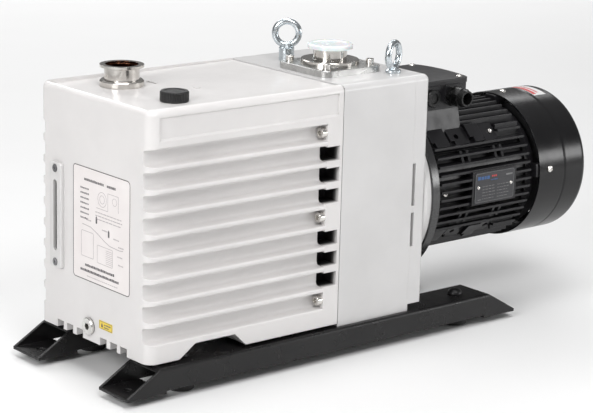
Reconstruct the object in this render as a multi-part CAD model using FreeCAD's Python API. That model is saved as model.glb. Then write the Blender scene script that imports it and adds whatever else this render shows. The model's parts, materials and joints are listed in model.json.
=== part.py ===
import FreeCAD, Part
import math
import os

# Two-stage, oil-sealed rotary vane vacuum pump with a flange-mounted electric motor.
# Millimetres. +X runs from the oil casing's front face towards the motor, +Z is up,
# and the origin is on the floor under the middle of the bounding box.
os.makedirs("parts", exist_ok=True)

V = FreeCAD.Vector
X_DIR = V(1, 0, 0)
Y_DIR = V(0, 1, 0)
Z_DIR = V(0, 0, 1)

# ---------------------------------------------------------------- driving dimensions
# stations along X
CASING_FRONT = -365.0
CASING_REAR = -70.5
HOUSING_FRONT = -69.5
HOUSING_REAR = 50.5
BELL_REAR = 74.5
MOTOR_FACE = 82.0
MOTOR_REAR = 400.0

# heights and the shaft line
SHAFT_Z = 184.0
CASING_BOTTOM = 45.0
HOUSING_BOTTOM = 41.0
BELL_BOTTOM = 50.0
CASING_TOP = 352.5
RAIL_TOP = 41.0

# oil casing
HALF_WIDTH = 117.0
RIB_DEPTH = 13.6
GROOVE_FLOOR = HALF_WIDTH - RIB_DEPTH
GROOVE_COUNT = 9
RIB_PITCH = 27.0
RIB_TIP = 5.7
RIB_ROOT = 9.0
RIB_TIP_ROUND = 1.8
GROOVE_FILLET = 4.5
TOP_BAND_BOTTOM = 306.2
GROOVE_END = -95.0
POCKET_END = -74.5
POCKET_FLOOR = 89.0
TOP_EDGE_RADIUS = 8.0
SCREW_GROOVES = (0, 4, 8)

SIDE_SCREW_Y = 110.3
M8_CLEARANCE_R = 4.5

# fittings on the casing's front face
DRAIN_Y = 5.5
DRAIN_Z = 64.0
DRAIN_HOLE_R = 8.3
SIGHT_Y = 74.5
SIGHT_Z = 190.0
SIGHT_SLOT = (8.0, 90.0)
SIGHT_SCREW_DZ = 59.5
PLATE_CENTRE = (-19.0, 191.5)
PLATE_SIZE = (120.0, 142.0)
MARKER_CENTRE = (-29.0, 72.0)
MARKER_SIZE = (28.0, 10.5)

# DN 40 small-flange ports
KF_FLANGE_R = 27.5
KF_BORE_R = 20.0
KF_NECK_R = 21.9
KF_COLLAR_H = 8.0
PORT_X = -288.0
PORT_Y = 50.0
PORT_SEAT = 348.0
PORT_THREAD_R = 23.0
INLET_X = -12.0
INLET_Y = -20.0
INLET_PLATE_TOP = 361.0
INLET_PLATE_HALF = 49.0
INLET_BOLT_OFFSET = 36.5
INLET_DUCT_R = 22.0
INLET_TOP = 384.0

# oil filler
FILLER_X = -291.0
FILLER_Y = -63.0
FILLER_SEAT = 348.0
FILLER_HOLE_R = 12.0

# lifting eyes, and the holes in the centre housing
EYE_FRONT = (-20.0, 58.0)
EYE_FRONT_COLLAR = 18.5
EYE_FRONT_TURN = -40.0
EYE_REAR = (42.0, -82.0)
EYE_REAR_COLLAR = 5.0
EYE_REAR_TURN = 22.0
EYE_RING_R = 15.6
EYE_WIRE_R = 4.3
EYE_HOLE_R = 4.0
M10_R = 5.0
HOUSING_BOLT_R = 6.0
HOUSING_BOLT_HEAD = 7.5
HOUSING_BOLT_LENGTH = 33.0

# bell housing
BELL_SLOTS = ((128.0, 173.0), (182.0, 238.0))
BELL_SLOT_WIDTH = 5.5
BELL_SLOT_DEPTH = 10.0
SPIGOT_R = 90.0

# pump module
PUMP_BORE_R = 50.0
ROTOR_R = 43.5
ROTOR_GAP = 0.2
ECCENTRICITY = PUMP_BORE_R - ROTOR_R - ROTOR_GAP
BORE_Z = SHAFT_Z - ECCENTRICITY
PUMP_SHAFT_R = 15.0
RUNNING_GAP = 0.05
REAR_PLATE_T = 25.0
HV_LENGTH = 80.0
MIDDLE_PLATE_T = 18.0
LV_LENGTH = 40.0
FRONT_PLATE_T = 18.0
VANE_SLOT = 10.0
VANE_T = 9.6
VANE_HEIGHT = 25.8
MODULE_HALF_WIDTH = 75.0
MODULE_TOP = SHAFT_Z + 75.0
MODULE_BOTTOM = SHAFT_Z - 85.0
REAR_PLATE_X = HOUSING_FRONT - REAR_PLATE_T
HV_X = REAR_PLATE_X - HV_LENGTH
MIDDLE_PLATE_X = HV_X - MIDDLE_PLATE_T
LV_X = MIDDLE_PLATE_X - LV_LENGTH
FRONT_PLATE_X = LV_X - FRONT_PLATE_T
EXHAUST_HOLE_Y = 22.0
VALVE_HINGE_Y = 48.0
LEAF_T = 0.8

# shaft coupling
COUPLING_R = 40.0
COUPLING_ROOM_R = 75.0
PUMP_HUB_X = -44.0
SPIDER_X = -10.0
SPIDER_T = 16.0
MOTOR_HUB_END = 40.0
CLAW_R_IN = 16.5
CLAW_ANGLE = 44.0
CLAW_COUNT = 3

# motor
FLANGE_R = 125.0
FLANGE_REAR = 95.0
FLANGE_BOLT_R = 107.5
FRAME_X = 118.0
FRAME_END = 300.0
FRAME_TUBE_R = 84.0
FIN_R = 97.0
FIN_PITCH = 11.0
FIN_HALF_T = 1.6
DIAGONALS = (45.0, 135.0, 225.0, 315.0)
FOOT_PADS = ((126.0, 156.0, 95.0), (163.0, 195.0, 92.5), (195.0, 218.0, 97.0), (218.0, 247.0, 92.5))
FOOT_HOLES_X = (176.0, 238.0)
NAMEPLATE_X = (184.0, 258.0)
NAMEPLATE_Z = (161.5, 203.5)
NAMEPLATE_Y = -97.2
MOTOR_SHAFT_R = 14.0
BEARING_IN_R = 15.0
BEARING_OUT_R = 31.0
BEARING_T = 16.0
BEARING_X = (92.0, 286.0)
BALL_R = 4.6
BALL_PITCH_R = 23.0
CORE_X = (148.0, 262.0)
CORE_R = 76.0
CORE_BORE_R = 50.0
ROTOR_SHAFT_R = 20.0
AIR_GAP = 0.6

# fan and cowl
FAN_X = 322.0
FAN_R = 87.5
FAN_BLADES = 7
COWL_X = 305.0
COWL_R = 101.0
COWL_SHEET = 2.0
COWL_SCREW_X = 324.0
COWL_SCREW_TURNS = (2.0, 85.0, 182.0, 265.0)
GRILLE_RINGS = (26.0, 38.0, 50.0, 62.0, 74.0, 86.0)
GRILLE_SLOT = 7.0
GRILLE_SPOKES = 8

# terminal box on top of the motor
TERMINAL_BASE = 287.0
BOX_X = (112.0, 204.0)
BOX_HALF = 55.0
BOX_RIM = 320.0
LID_EDGE = 326.5
LID_CROWN = 329.0
GLAND_X = 175.0
PLUG_X = 137.5
GLAND_Z = 304.0
GLAND_HOLE_R = 10.0
GLAND_PAD = 2.0
WIRE_HOLE_X = 163.0
COVER_SCREW_R = 2.5
COVER_SCREW_HEAD_R = 4.6
COVER_SCREW_LENGTH = 10.5
LID_SCREW_SEAT = 326.0

# skid rails and feet
RAIL_OUTER = 125.0
RAIL_INNER = 65.5
RAIL_SHEET = 3.5
RAIL_WEB_BOTTOM = 12.5
RAIL_FRONT_TIP = -400.0
RAIL_REAR_TIP = 242.5
RAIL_END_RUN = 49.0
TIP_PLATE_LENGTH = 57.0
FOOT_X = (-301.0, 158.0)
FOOT_Y = 95.0
TIP_HOLE_INSET = 22.0
TIP_HOLE_R = 5.5
RAIL_BOLT_X = (-40.0, 22.0)


# ---------------------------------------------------------------- shape helpers
def box(x0, x1, y0, y1, z0, z1):
    return Part.makeBox(x1 - x0, y1 - y0, z1 - z0, V(x0, y0, z0))


def cyl_x(r, x0, x1, y=0.0, z=SHAFT_Z):
    return Part.makeCylinder(r, x1 - x0, V(x0, y, z), X_DIR)


def cyl_y(r, y0, y1, x, z):
    return Part.makeCylinder(r, y1 - y0, V(x, y0, z), Y_DIR)


def cyl_z(r, z0, z1, x, y):
    return Part.makeCylinder(r, z1 - z0, V(x, y, z0), Z_DIR)


def fuse(shapes):
    first = shapes[0]
    if len(shapes) == 1:
        return first
    return first.fuse(list(shapes[1:])).removeSplitter()


def group(shapes):
    """Separate solids that share one node."""
    return Part.makeCompound(shapes)


def prism(points, direction):
    """A closed polygon pushed along a direction."""
    wire = Part.makePolygon(list(points) + [points[0]])
    return Part.Face(wire).extrude(direction)


def hex_z(across_flats, z0, z1, x, y, turn=0.0):
    radius = across_flats / math.sqrt(3.0)
    points = []
    for i in range(6):
        a = math.radians(60 * i + turn)
        points.append(V(x + radius * math.cos(a), y + radius * math.sin(a), z0))
    return prism(points, V(0, 0, z1 - z0))


def hex_y(across_flats, y0, y1, x, z, turn):
    solid = hex_z(across_flats, 0, y1 - y0, 0, 0, turn)
    solid.rotate(V(0, 0, 0), X_DIR, -90)
    solid.translate(V(x, y0, z))
    return solid


def hex_x(across_flats, x0, x1, y, z, turn=30.0):
    solid = hex_z(across_flats, 0, x1 - x0, 0, 0, turn)
    solid.rotate(V(0, 0, 0), Y_DIR, 90)
    solid.translate(V(x0, y, z))
    return solid


def edges_where(shape, test):
    return [edge for edge in shape.Edges if test(edge)]


def straight_along(edge, axis):
    """True for a straight edge parallel to a unit axis."""
    if len(edge.Vertexes) != 2:
        return False
    run = edge.Vertexes[1].Point.sub(edge.Vertexes[0].Point)
    return run.Length > 0.1 and abs(run.normalize().dot(axis)) > 0.9999


def round_edges(shape, radius, test):
    return shape.makeFillet(radius, edges_where(shape, test))


def revolve_x(profile, z=SHAFT_Z):
    """A profile of (x, radius) points turned about the shaft line."""
    points = [V(x, 0, z + r) for x, r in profile]
    wire = Part.makePolygon(points + [points[0]])
    return Part.Face(wire).revolve(V(0, 0, z), X_DIR, 360)


def revolve_z(profile, x, y):
    """A profile of (radius, z) points turned about a vertical axis."""
    points = [V(x + r, y, h) for r, h in profile]
    wire = Part.makePolygon(points + [points[0]])
    return Part.Face(wire).revolve(V(x, y, 0), Z_DIR, 360)


def turned_about_shaft(shape, degrees):
    copy = shape.copy()
    copy.rotate(V(0, 0, SHAFT_Z), X_DIR, degrees)
    return copy


def mirrored_y(shape):
    return shape.mirror(V(0, 0, 0), Y_DIR)


def save(name, shape):
    shape.exportStep("parts/" + name + ".step")
    volume = shape.Volume / 1000
    print(f"{name:24s} solids {len(shape.Solids):2d}  {volume:9.1f} cm3  valid {shape.isValid()}")


# ---------------------------------------------------------------- oil casing
def groove_centre_z(index):
    return TOP_BAND_BOTTOM - (RIB_PITCH - RIB_TIP) / 2 - RIB_PITCH * index


def side_groove(index):
    """One drafted groove between two side ribs, near (-Y) side: filleted floor, rounded rib tips."""
    z_mid = groove_centre_z(index)
    outer = (RIB_PITCH - RIB_TIP) / 2
    inner = (RIB_PITCH - RIB_ROOT) / 2
    past = 1.0
    x0 = CASING_FRONT - past
    mouth = outer + RIB_TIP_ROUND
    knee = 0.3 * RIB_TIP_ROUND
    outline = []
    for side in (1, -1):
        lip = V(x0, -HALF_WIDTH, z_mid + side * mouth)
        turn = V(x0, -HALF_WIDTH + knee, z_mid + side * (outer + knee))
        wall = V(x0, -HALF_WIDTH + RIB_TIP_ROUND, z_mid + side * (outer - 0.1))
        floor = V(x0, -GROOVE_FLOOR, z_mid + side * inner)
        outside = V(x0, -HALF_WIDTH - past, z_mid + side * mouth)
        outline.append([outside, lip, turn, wall, floor])
    edges = []
    for outside, lip, turn, wall, floor in outline:
        edges += [Part.LineSegment(outside, lip), Part.Arc(lip, turn, wall), Part.LineSegment(wall, floor)]
    edges.append(Part.LineSegment(outline[0][4], outline[1][4]))
    edges.append(Part.LineSegment(outline[0][0], outline[1][0]))
    wire = Part.Wire(Part.__sortEdges__([edge.toShape() for edge in edges]))
    cut = Part.Face(wire).extrude(V(GROOVE_END - x0, 0, 0))
    cut = round_edges(cut, GROOVE_FILLET, lambda e: straight_along(e, X_DIR)
                      and e.CenterOfMass.y > -GROOVE_FLOOR - 0.1)
    if index not in SCREW_GROOVES:
        pocket = box(GROOVE_END - past, POCKET_END, -HALF_WIDTH - past, -POCKET_FLOOR,
                     z_mid - inner, z_mid + inner)
        cut = cut.fuse(pocket)
    return cut


def top_band_recess():
    """Shallow panel in the plain band above the ribs, near side."""
    depth = 1.8
    points = [
        V(-351, -HALF_WIDTH - 1, 315.2),
        V(-351, -HALF_WIDTH, 315.2),
        V(-351, -HALF_WIDTH + depth, 317.6),
        V(-351, -HALF_WIDTH + depth, 342.0),
        V(-351, -HALF_WIDTH, 343.5),
        V(-351, -HALF_WIDTH - 1, 343.5),
    ]
    return prism(points, V(273, 0, 0))


def foot_bolt_recess():
    """Trapezoid recess under the casing that clears the rail's front foot bolt, near side."""
    depth_y = 60.0
    points = [
        V(-320, -HALF_WIDTH - 1, CASING_BOTTOM - 1),
        V(-319, -HALF_WIDTH - 1, CASING_BOTTOM),
        V(-295, -HALF_WIDTH - 1, CASING_BOTTOM + 16.5),
        V(-235, -HALF_WIDTH - 1, CASING_BOTTOM + 16.5),
        V(-218, -HALF_WIDTH - 1, CASING_BOTTOM),
        V(-217, -HALF_WIDTH - 1, CASING_BOTTOM - 1),
    ]
    return prism(points, V(0, depth_y + 1, 0))


def underside_channels():
    """Three cooling channels each side of the drain boss, open at the front."""
    middle_y = 2.0
    channels = []
    for side in (-1, 1):
        for offset in (25.3, 47.2, 68.0):
            y = middle_y + side * offset
            channels.append(box(CASING_FRONT - 1, -90, y - 7, y + 7,
                                CASING_BOTTOM - 1, CASING_BOTTOM + 10))
    return channels


def casing_cavity():
    room = box(-357, -110, -96, 96, 69, 341)
    room = room.fuse(box(-111, CASING_REAR + 1, -80, 80, 69, 341))
    sump = box(-357, CASING_REAR + 1, -13, 17, 54, 70)
    return room.fuse(sump)


def top_panel_cut():
    """Shallow panel between the side rims, a little lower at the front."""
    points = [
        V(-354, -107, 347.4),
        V(CASING_REAR + 1, -107, 350.4),
        V(CASING_REAR + 1, -107, CASING_TOP + 1),
        V(-360, -107, CASING_TOP + 1),
        V(-360, -107, 350.4),
    ]
    return prism(points, V(0, 214, 0))


def make_oil_casing():
    body = box(CASING_FRONT, CASING_REAR, -HALF_WIDTH, HALF_WIDTH, CASING_BOTTOM, CASING_TOP)
    body = round_edges(body, RIB_DEPTH, lambda e: straight_along(e, Z_DIR)
                       and e.CenterOfMass.x < CASING_FRONT + 1)
    body = round_edges(body, TOP_EDGE_RADIUS, lambda e: e.CenterOfMass.z > CASING_TOP - 1
                       and e.CenterOfMass.x < CASING_REAR - 1)
    cuts = [casing_cavity(), top_panel_cut()]
    cuts += underside_channels()
    for index in range(GROOVE_COUNT):
        groove = side_groove(index)
        cuts += [groove, mirrored_y(groove)]
    for recess in (top_band_recess(), foot_bolt_recess()):
        cuts += [recess, mirrored_y(recess)]
    cuts.append(cyl_z(PORT_THREAD_R + 0.2, 330, PORT_SEAT + 5, PORT_X, PORT_Y))
    cuts.append(cyl_z(FILLER_HOLE_R, 330, FILLER_SEAT + 5, FILLER_X, FILLER_Y))
    cuts.append(cyl_z(29.0, PORT_SEAT, PORT_SEAT + 5, PORT_X, PORT_Y))
    cuts.append(cyl_z(18.5, FILLER_SEAT, FILLER_SEAT + 5, FILLER_X, FILLER_Y))
    cuts.append(cyl_x(DRAIN_HOLE_R, CASING_FRONT - 1, -350, DRAIN_Y, DRAIN_Z))
    cuts.append(box(CASING_FRONT - 1, -350, SIGHT_Y - 3.5, SIGHT_Y + 3.5,
                    SIGHT_Z - SIGHT_SLOT[1] / 2, SIGHT_Z + SIGHT_SLOT[1] / 2))
    for dz in (-SIGHT_SCREW_DZ, SIGHT_SCREW_DZ):
        cuts.append(cyl_x(2.5, CASING_FRONT - 1, CASING_FRONT + 7, SIGHT_Y, SIGHT_Z + dz))
    for index in SCREW_GROOVES:
        for side in (-1, 1):
            cuts.append(cyl_x(M8_CLEARANCE_R, GROOVE_END - 1, CASING_REAR + 1,
                              side * SIDE_SCREW_Y, groove_centre_z(index)))
    return body.cut(cuts)


def make_casing_gasket():
    sheet = box(CASING_REAR, HOUSING_FRONT, -116.2, 116.2, CASING_BOTTOM + 0.8, CASING_TOP - 3.0)
    sheet = sheet.cut(box(CASING_REAR - 1, HOUSING_FRONT + 1, -80, 80, 69, 341))
    for index in SCREW_GROOVES:
        for side in (-1, 1):
            sheet = sheet.cut(cyl_x(M8_CLEARANCE_R, CASING_REAR - 1, HOUSING_FRONT + 1,
                                    side * SIDE_SCREW_Y, groove_centre_z(index)))
    return sheet


def socket_head_x(head_r, head_l, shank_r, x_head, x_end, y, z, hex_size):
    """Socket-head screw that points along +X, with its head at the low-X end."""
    x_seat = x_head + head_l
    head = cyl_x(head_r, x_head, x_seat, y, z)
    head = head.makeChamfer(0.6, edges_where(head, lambda e: e.Closed
                                             and e.CenterOfMass.x < x_head + 0.1))
    screw = head.fuse(cyl_x(shank_r, x_seat, x_end, y, z))
    return screw.cut(hex_x(hex_size, x_head - 1, x_head + head_l * 0.55, y, z))


def make_casing_screws():
    screws = []
    for index in SCREW_GROOVES:
        for side in (-1, 1):
            screws.append(socket_head_x(6.5, 8.0, 4.0, GROOVE_END - 8, HOUSING_FRONT + 20,
                                        side * SIDE_SCREW_Y, groove_centre_z(index), 6.0))
    return group(screws)


def rounded_plate_x(x0, x1, y, z, width, height, radius):
    """Plate in the YZ plane with rounded corners."""
    plate = box(x0, x1, y - width / 2, y + width / 2, z - height / 2, z + height / 2)
    return round_edges(plate, radius, lambda e: straight_along(e, X_DIR))


def make_sight_glass_bezel():
    bezel = rounded_plate_x(CASING_FRONT - 5, CASING_FRONT, SIGHT_Y, SIGHT_Z, 26, 134, 4)
    outer_edges = edges_where(bezel, lambda e: e.CenterOfMass.x < CASING_FRONT - 4.9)
    bezel = bezel.makeChamfer(1.0, outer_edges)
    slot = rounded_plate_x(CASING_FRONT - 6, CASING_FRONT + 1, SIGHT_Y, SIGHT_Z, *SIGHT_SLOT, 3.9)
    bezel = bezel.cut(slot)
    for dz in (-SIGHT_SCREW_DZ, SIGHT_SCREW_DZ):
        bezel = bezel.cut(cyl_x(2.7, CASING_FRONT - 6, CASING_FRONT + 1, SIGHT_Y, SIGHT_Z + dz))
        bezel = bezel.cut(cyl_x(5.2, CASING_FRONT - 6, CASING_FRONT - 3.0, SIGHT_Y, SIGHT_Z + dz))
    return bezel


def make_sight_glass_window():
    width, height = SIGHT_SLOT
    return rounded_plate_x(CASING_FRONT - 1.2, CASING_FRONT, SIGHT_Y, SIGHT_Z,
                           width - 0.1, height - 0.2, 3.8)


def make_sight_glass_screws():
    screws = []
    for dz in (-SIGHT_SCREW_DZ, SIGHT_SCREW_DZ):
        z = SIGHT_Z + dz
        head = cyl_x(4.8, CASING_FRONT - 5.6, CASING_FRONT - 3.0, SIGHT_Y, z)
        head = head.fuse(cyl_x(2.5, CASING_FRONT - 3.0, CASING_FRONT + 6, SIGHT_Y, z))
        screws.append(head.cut(hex_x(3.0, CASING_FRONT - 7, CASING_FRONT - 4.0, SIGHT_Y, z)))
    return group(screws)


def make_front_labels():
    """Operating-data plate and the small drain marker, both thin foil."""
    plate = rounded_plate_x(CASING_FRONT - 0.5, CASING_FRONT, *PLATE_CENTRE, *PLATE_SIZE, 5)
    marker = rounded_plate_x(CASING_FRONT - 0.4, CASING_FRONT, *MARKER_CENTRE, *MARKER_SIZE, 0.8)
    return group([plate, marker])


def make_drain_plug():
    plug = cyl_x(11.0, CASING_FRONT - 4.5, CASING_FRONT - 1.0, DRAIN_Y, DRAIN_Z)
    plug = plug.makeChamfer(0.8, edges_where(plug, lambda e: e.Closed
                                             and e.CenterOfMass.x < CASING_FRONT - 4))
    plug = plug.fuse(cyl_x(8.0, CASING_FRONT - 1.0, CASING_FRONT + 14, DRAIN_Y, DRAIN_Z))
    return plug.cut(hex_x(8.0, CASING_FRONT - 6, CASING_FRONT + 5, DRAIN_Y, DRAIN_Z))


def make_drain_plug_seal():
    return cyl_x(10.6, CASING_FRONT - 1.0, CASING_FRONT, DRAIN_Y, DRAIN_Z).cut(
        cyl_x(8.4, CASING_FRONT - 2, CASING_FRONT + 1, DRAIN_Y, DRAIN_Z))


def kf_flange_profile(z_top, r_in, z_bottom):
    """Half section of a DN 40 small flange on a neck, from the neck's foot to the sealing face."""
    rim = 3.0
    slope_drop = (KF_FLANGE_R - KF_NECK_R) * math.tan(math.radians(15))
    return [(r_in, z_bottom), (KF_NECK_R, z_bottom), (KF_NECK_R, z_top - rim - slope_drop),
            (KF_FLANGE_R, z_top - rim), (KF_FLANGE_R, z_top), (r_in, z_top)]


def make_exhaust_port():
    z0 = PORT_SEAT
    r = KF_FLANGE_R
    collar = revolve_z([(0, z0), (r - 0.8, z0), (r, z0 + 0.8), (r, z0 + KF_COLLAR_H - 1.6),
                        (r - 1.6, z0 + KF_COLLAR_H), (0, z0 + KF_COLLAR_H)], PORT_X, PORT_Y)
    neck = revolve_z(kf_flange_profile(z0 + 27, KF_BORE_R, z0 + 5), PORT_X, PORT_Y)
    thread = cyl_z(PORT_THREAD_R, 336, z0, PORT_X, PORT_Y)
    port = collar.fuse([neck, thread])
    port = port.cut(cyl_z(KF_BORE_R, 330, z0 + 30, PORT_X, PORT_Y))
    centring = cyl_z(20.6, z0 + 24, z0 + 30, PORT_X, PORT_Y)
    return port.cut(centring).removeSplitter()


def make_oil_filler_cap():
    seat = FILLER_SEAT + 0.3
    top = FILLER_SEAT + 13
    cap = revolve_z([(0, seat), (17.0, seat), (17.5, seat + 0.8), (17.5, top - 1.6), (16.2, top),
                     (12.6, top), (12.0, top - 0.8), (0, top - 0.8)], FILLER_X, FILLER_Y)
    cap = cap.cut(cyl_z(15.8, seat - 1, seat + 2, FILLER_X, FILLER_Y))
    flutes = []
    flute_count = 36
    for i in range(flute_count):
        a = 2 * math.pi * i / flute_count
        flutes.append(cyl_z(1.0, seat + 1.2, top + 1, FILLER_X + 17.7 * math.cos(a),
                            FILLER_Y + 17.7 * math.sin(a)))
    cap = cap.cut(flutes)
    stem = cyl_z(11.7, 332, seat + 3, FILLER_X, FILLER_Y).cut(cyl_z(8.5, 331, 344, FILLER_X, FILLER_Y))
    return cap.fuse(stem).removeSplitter()


def make_oil_filler_seal():
    return cyl_z(15.4, FILLER_SEAT, FILLER_SEAT + 2.3, FILLER_X, FILLER_Y).cut(
        cyl_z(12.1, FILLER_SEAT - 1, FILLER_SEAT + 3, FILLER_X, FILLER_Y))


def make_demister():
    """Mist filter cartridge hung under the exhaust port."""
    shell = box(-338, -256, 8, 90, 292, 336)
    shell = round_edges(shell, 6, lambda e: straight_along(e, Z_DIR))
    return shell.cut(cyl_z(KF_BORE_R + 0.5, 300, 337, PORT_X, PORT_Y))


# ---------------------------------------------------------------- centre housing and bell
def make_centre_housing():
    body = box(HOUSING_FRONT, HOUSING_REAR, -HALF_WIDTH, HALF_WIDTH, HOUSING_BOTTOM, CASING_TOP)
    body = round_edges(body, TOP_EDGE_RADIUS, lambda e: straight_along(e, X_DIR)
                       and e.CenterOfMass.z > CASING_TOP - 1)
    wall = 20.0
    cuts = [cyl_x(COUPLING_ROOM_R, HOUSING_FRONT + wall, HOUSING_REAR + 1)]
    cuts.append(cyl_x(PUMP_SHAFT_R + 0.5, HOUSING_FRONT - 1, HOUSING_FRONT + wall + 1))
    cuts.append(cyl_x(26.0, HOUSING_FRONT + 6, HOUSING_FRONT + wall + 1))
    cuts.append(cyl_z(INLET_DUCT_R, 290, CASING_TOP + 1, INLET_X, INLET_Y))
    cuts.append(cyl_x(14.0, HOUSING_FRONT - 1, INLET_X, INLET_Y, 305))
    hollow_side = box(-50, HOUSING_REAR + 1, 86, 106, 85, 300)
    cuts += [hollow_side, mirrored_y(hollow_side)]
    for x in (INLET_X - INLET_BOLT_OFFSET, INLET_X + INLET_BOLT_OFFSET):
        for y in (INLET_Y - INLET_BOLT_OFFSET, INLET_Y + INLET_BOLT_OFFSET):
            cuts.append(cyl_z(3.0, CASING_TOP - 14, CASING_TOP + 1, x, y))
    for x, y in (EYE_FRONT, EYE_REAR):
        cuts.append(cyl_z(EYE_HOLE_R, CASING_TOP - 16, CASING_TOP + 1, x, y))
    for x in RAIL_BOLT_X:
        for side in (-1, 1):
            cuts.append(cyl_z(HOUSING_BOLT_R, HOUSING_BOTTOM - 1, HOUSING_BOTTOM + 31,
                              x, side * FOOT_Y))
    for index in SCREW_GROOVES:
        for side in (-1, 1):
            cuts.append(cyl_x(4.0, HOUSING_FRONT - 1, HOUSING_FRONT + 20, side * SIDE_SCREW_Y,
                              groove_centre_z(index)))
    return body.cut(cuts)


def make_bell_housing():
    """Motor adapter: a plate that matches the housing, with a round boss for the motor flange."""
    plate = box(HOUSING_REAR, BELL_REAR, -HALF_WIDTH, HALF_WIDTH, BELL_BOTTOM, CASING_TOP)
    plate = round_edges(plate, TOP_EDGE_RADIUS, lambda e: straight_along(e, X_DIR)
                        and e.CenterOfMass.z > CASING_TOP - 1)
    plate = round_edges(plate, 5.0, lambda e: e.CenterOfMass.x > BELL_REAR - 0.1
                        and e.CenterOfMass.z > BELL_BOTTOM + 1)
    boss = revolve_x([(BELL_REAR - 1, 0), (BELL_REAR - 1, 116.5), (BELL_REAR + 2, 119.5),
                      (MOTOR_FACE, 121.5), (MOTOR_FACE, 0)])
    body = plate.fuse(boss)
    cuts = [cyl_x(COUPLING_ROOM_R, HOUSING_REAR - 1, MOTOR_FACE + 1)]
    cuts.append(cyl_x(SPIGOT_R + 0.05, MOTOR_FACE - 5, MOTOR_FACE + 1))
    for side in (-1, 1):
        for z0, z1 in BELL_SLOTS:
            y0, y1 = sorted((side * (HALF_WIDTH - BELL_SLOT_DEPTH), side * (HALF_WIDTH + 2)))
            cuts.append(box(HOUSING_REAR - 1, HOUSING_REAR + BELL_SLOT_WIDTH, y0, y1, z0, z1))
    hole = cyl_x(HOUSING_BOLT_R, MOTOR_FACE - 22, MOTOR_FACE + 1, 0, SHAFT_Z + FLANGE_BOLT_R)
    for k in range(4):
        cuts.append(turned_about_shaft(hole, 45 + 90 * k))
    return body.cut(cuts).removeSplitter()


def housing_bolt():
    """M12 hex bolt standing on its head's seat at the origin, shank up."""
    across = 18.0
    head = hex_z(across, -HOUSING_BOLT_HEAD, 0, 0, 0)
    head = head.common(cyl_z(across * 0.56, -HOUSING_BOLT_HEAD - 1, 1, 0, 0))
    return head.fuse(cyl_z(HOUSING_BOLT_R, 0, HOUSING_BOLT_LENGTH, 0, 0))


def make_housing_bolts():
    """Four bolts through the motor flange, and four up through the rails, all alike."""
    bolts = []
    for k in range(4):
        bolt = housing_bolt()
        bolt.rotate(V(0, 0, 0), Y_DIR, -90)
        bolt.translate(V(FLANGE_REAR, 0, SHAFT_Z + FLANGE_BOLT_R))
        bolts.append(turned_about_shaft(bolt, 45 + 90 * k))
    for x in RAIL_BOLT_X:
        for side in (-1, 1):
            bolt = housing_bolt()
            bolt.translate(V(x, side * FOOT_Y, RAIL_TOP - RAIL_SHEET))
            bolts.append(bolt)
    return group(bolts)


def make_inlet_clamp_plate():
    half = INLET_PLATE_HALF
    plate = box(INLET_X - half, INLET_X + half, INLET_Y - half, INLET_Y + half,
                CASING_TOP, INLET_PLATE_TOP)
    plate = round_edges(plate, 12.0, lambda e: straight_along(e, Z_DIR))
    plate = plate.makeChamfer(0.7, edges_where(plate, lambda e: e.CenterOfMass.z > INLET_PLATE_TOP - 0.01))
    plate = plate.cut(cyl_z(24.0, CASING_TOP - 1, INLET_PLATE_TOP + 1, INLET_X, INLET_Y))
    for x in (INLET_X - INLET_BOLT_OFFSET, INLET_X + INLET_BOLT_OFFSET):
        for y in (INLET_Y - INLET_BOLT_OFFSET, INLET_Y + INLET_BOLT_OFFSET):
            plate = plate.cut(cyl_z(3.3, CASING_TOP - 1, INLET_PLATE_TOP + 1, x, y))
    return plate


def make_inlet_port():
    base = INLET_PLATE_TOP
    collar = revolve_z([(KF_BORE_R, base), (38.0, base), (38.0, base + 4.8), (37.0, base + 5.6),
                        (KF_BORE_R, base + 5.6)], INLET_X, INLET_Y)
    neck = revolve_z(kf_flange_profile(INLET_TOP, KF_BORE_R, base + 3), INLET_X, INLET_Y)
    spigot = revolve_z([(KF_BORE_R, CASING_TOP), (23.95, CASING_TOP), (23.95, base), (KF_BORE_R, base)],
                       INLET_X, INLET_Y)
    return collar.fuse([neck, spigot]).removeSplitter()


def make_inlet_dust_cap():
    """Soft plastic cap that pulls straight up off the inlet flange."""
    top = INLET_TOP + 2.5
    gap = 0.3
    inner_r = KF_FLANGE_R + gap
    outer_r = inner_r + 1.5
    mouth = INLET_TOP - 3.4
    return revolve_z([(0, INLET_TOP + gap), (inner_r, INLET_TOP + gap), (inner_r, mouth),
                      (outer_r, mouth), (outer_r, top - 1.4), (27.6, top), (22, top),
                      (20.5, top - 0.7), (0, top - 0.7)], INLET_X, INLET_Y)


def make_inlet_plate_screws():
    screws = []
    for x in (INLET_X - INLET_BOLT_OFFSET, INLET_X + INLET_BOLT_OFFSET):
        for y in (INLET_Y - INLET_BOLT_OFFSET, INLET_Y + INLET_BOLT_OFFSET):
            head = cyl_z(5.2, INLET_PLATE_TOP, INLET_PLATE_TOP + 7.5, x, y)
            head = head.makeChamfer(0.5, edges_where(head, lambda e: e.Closed
                                                     and e.CenterOfMass.z > INLET_PLATE_TOP + 7))
            head = head.cut(hex_z(5.0, INLET_PLATE_TOP + 3.5, INLET_PLATE_TOP + 9, x, y))
            screws.append(head.fuse(cyl_z(3.0, CASING_TOP - 12, INLET_PLATE_TOP, x, y)))
    return group(screws)


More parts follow.
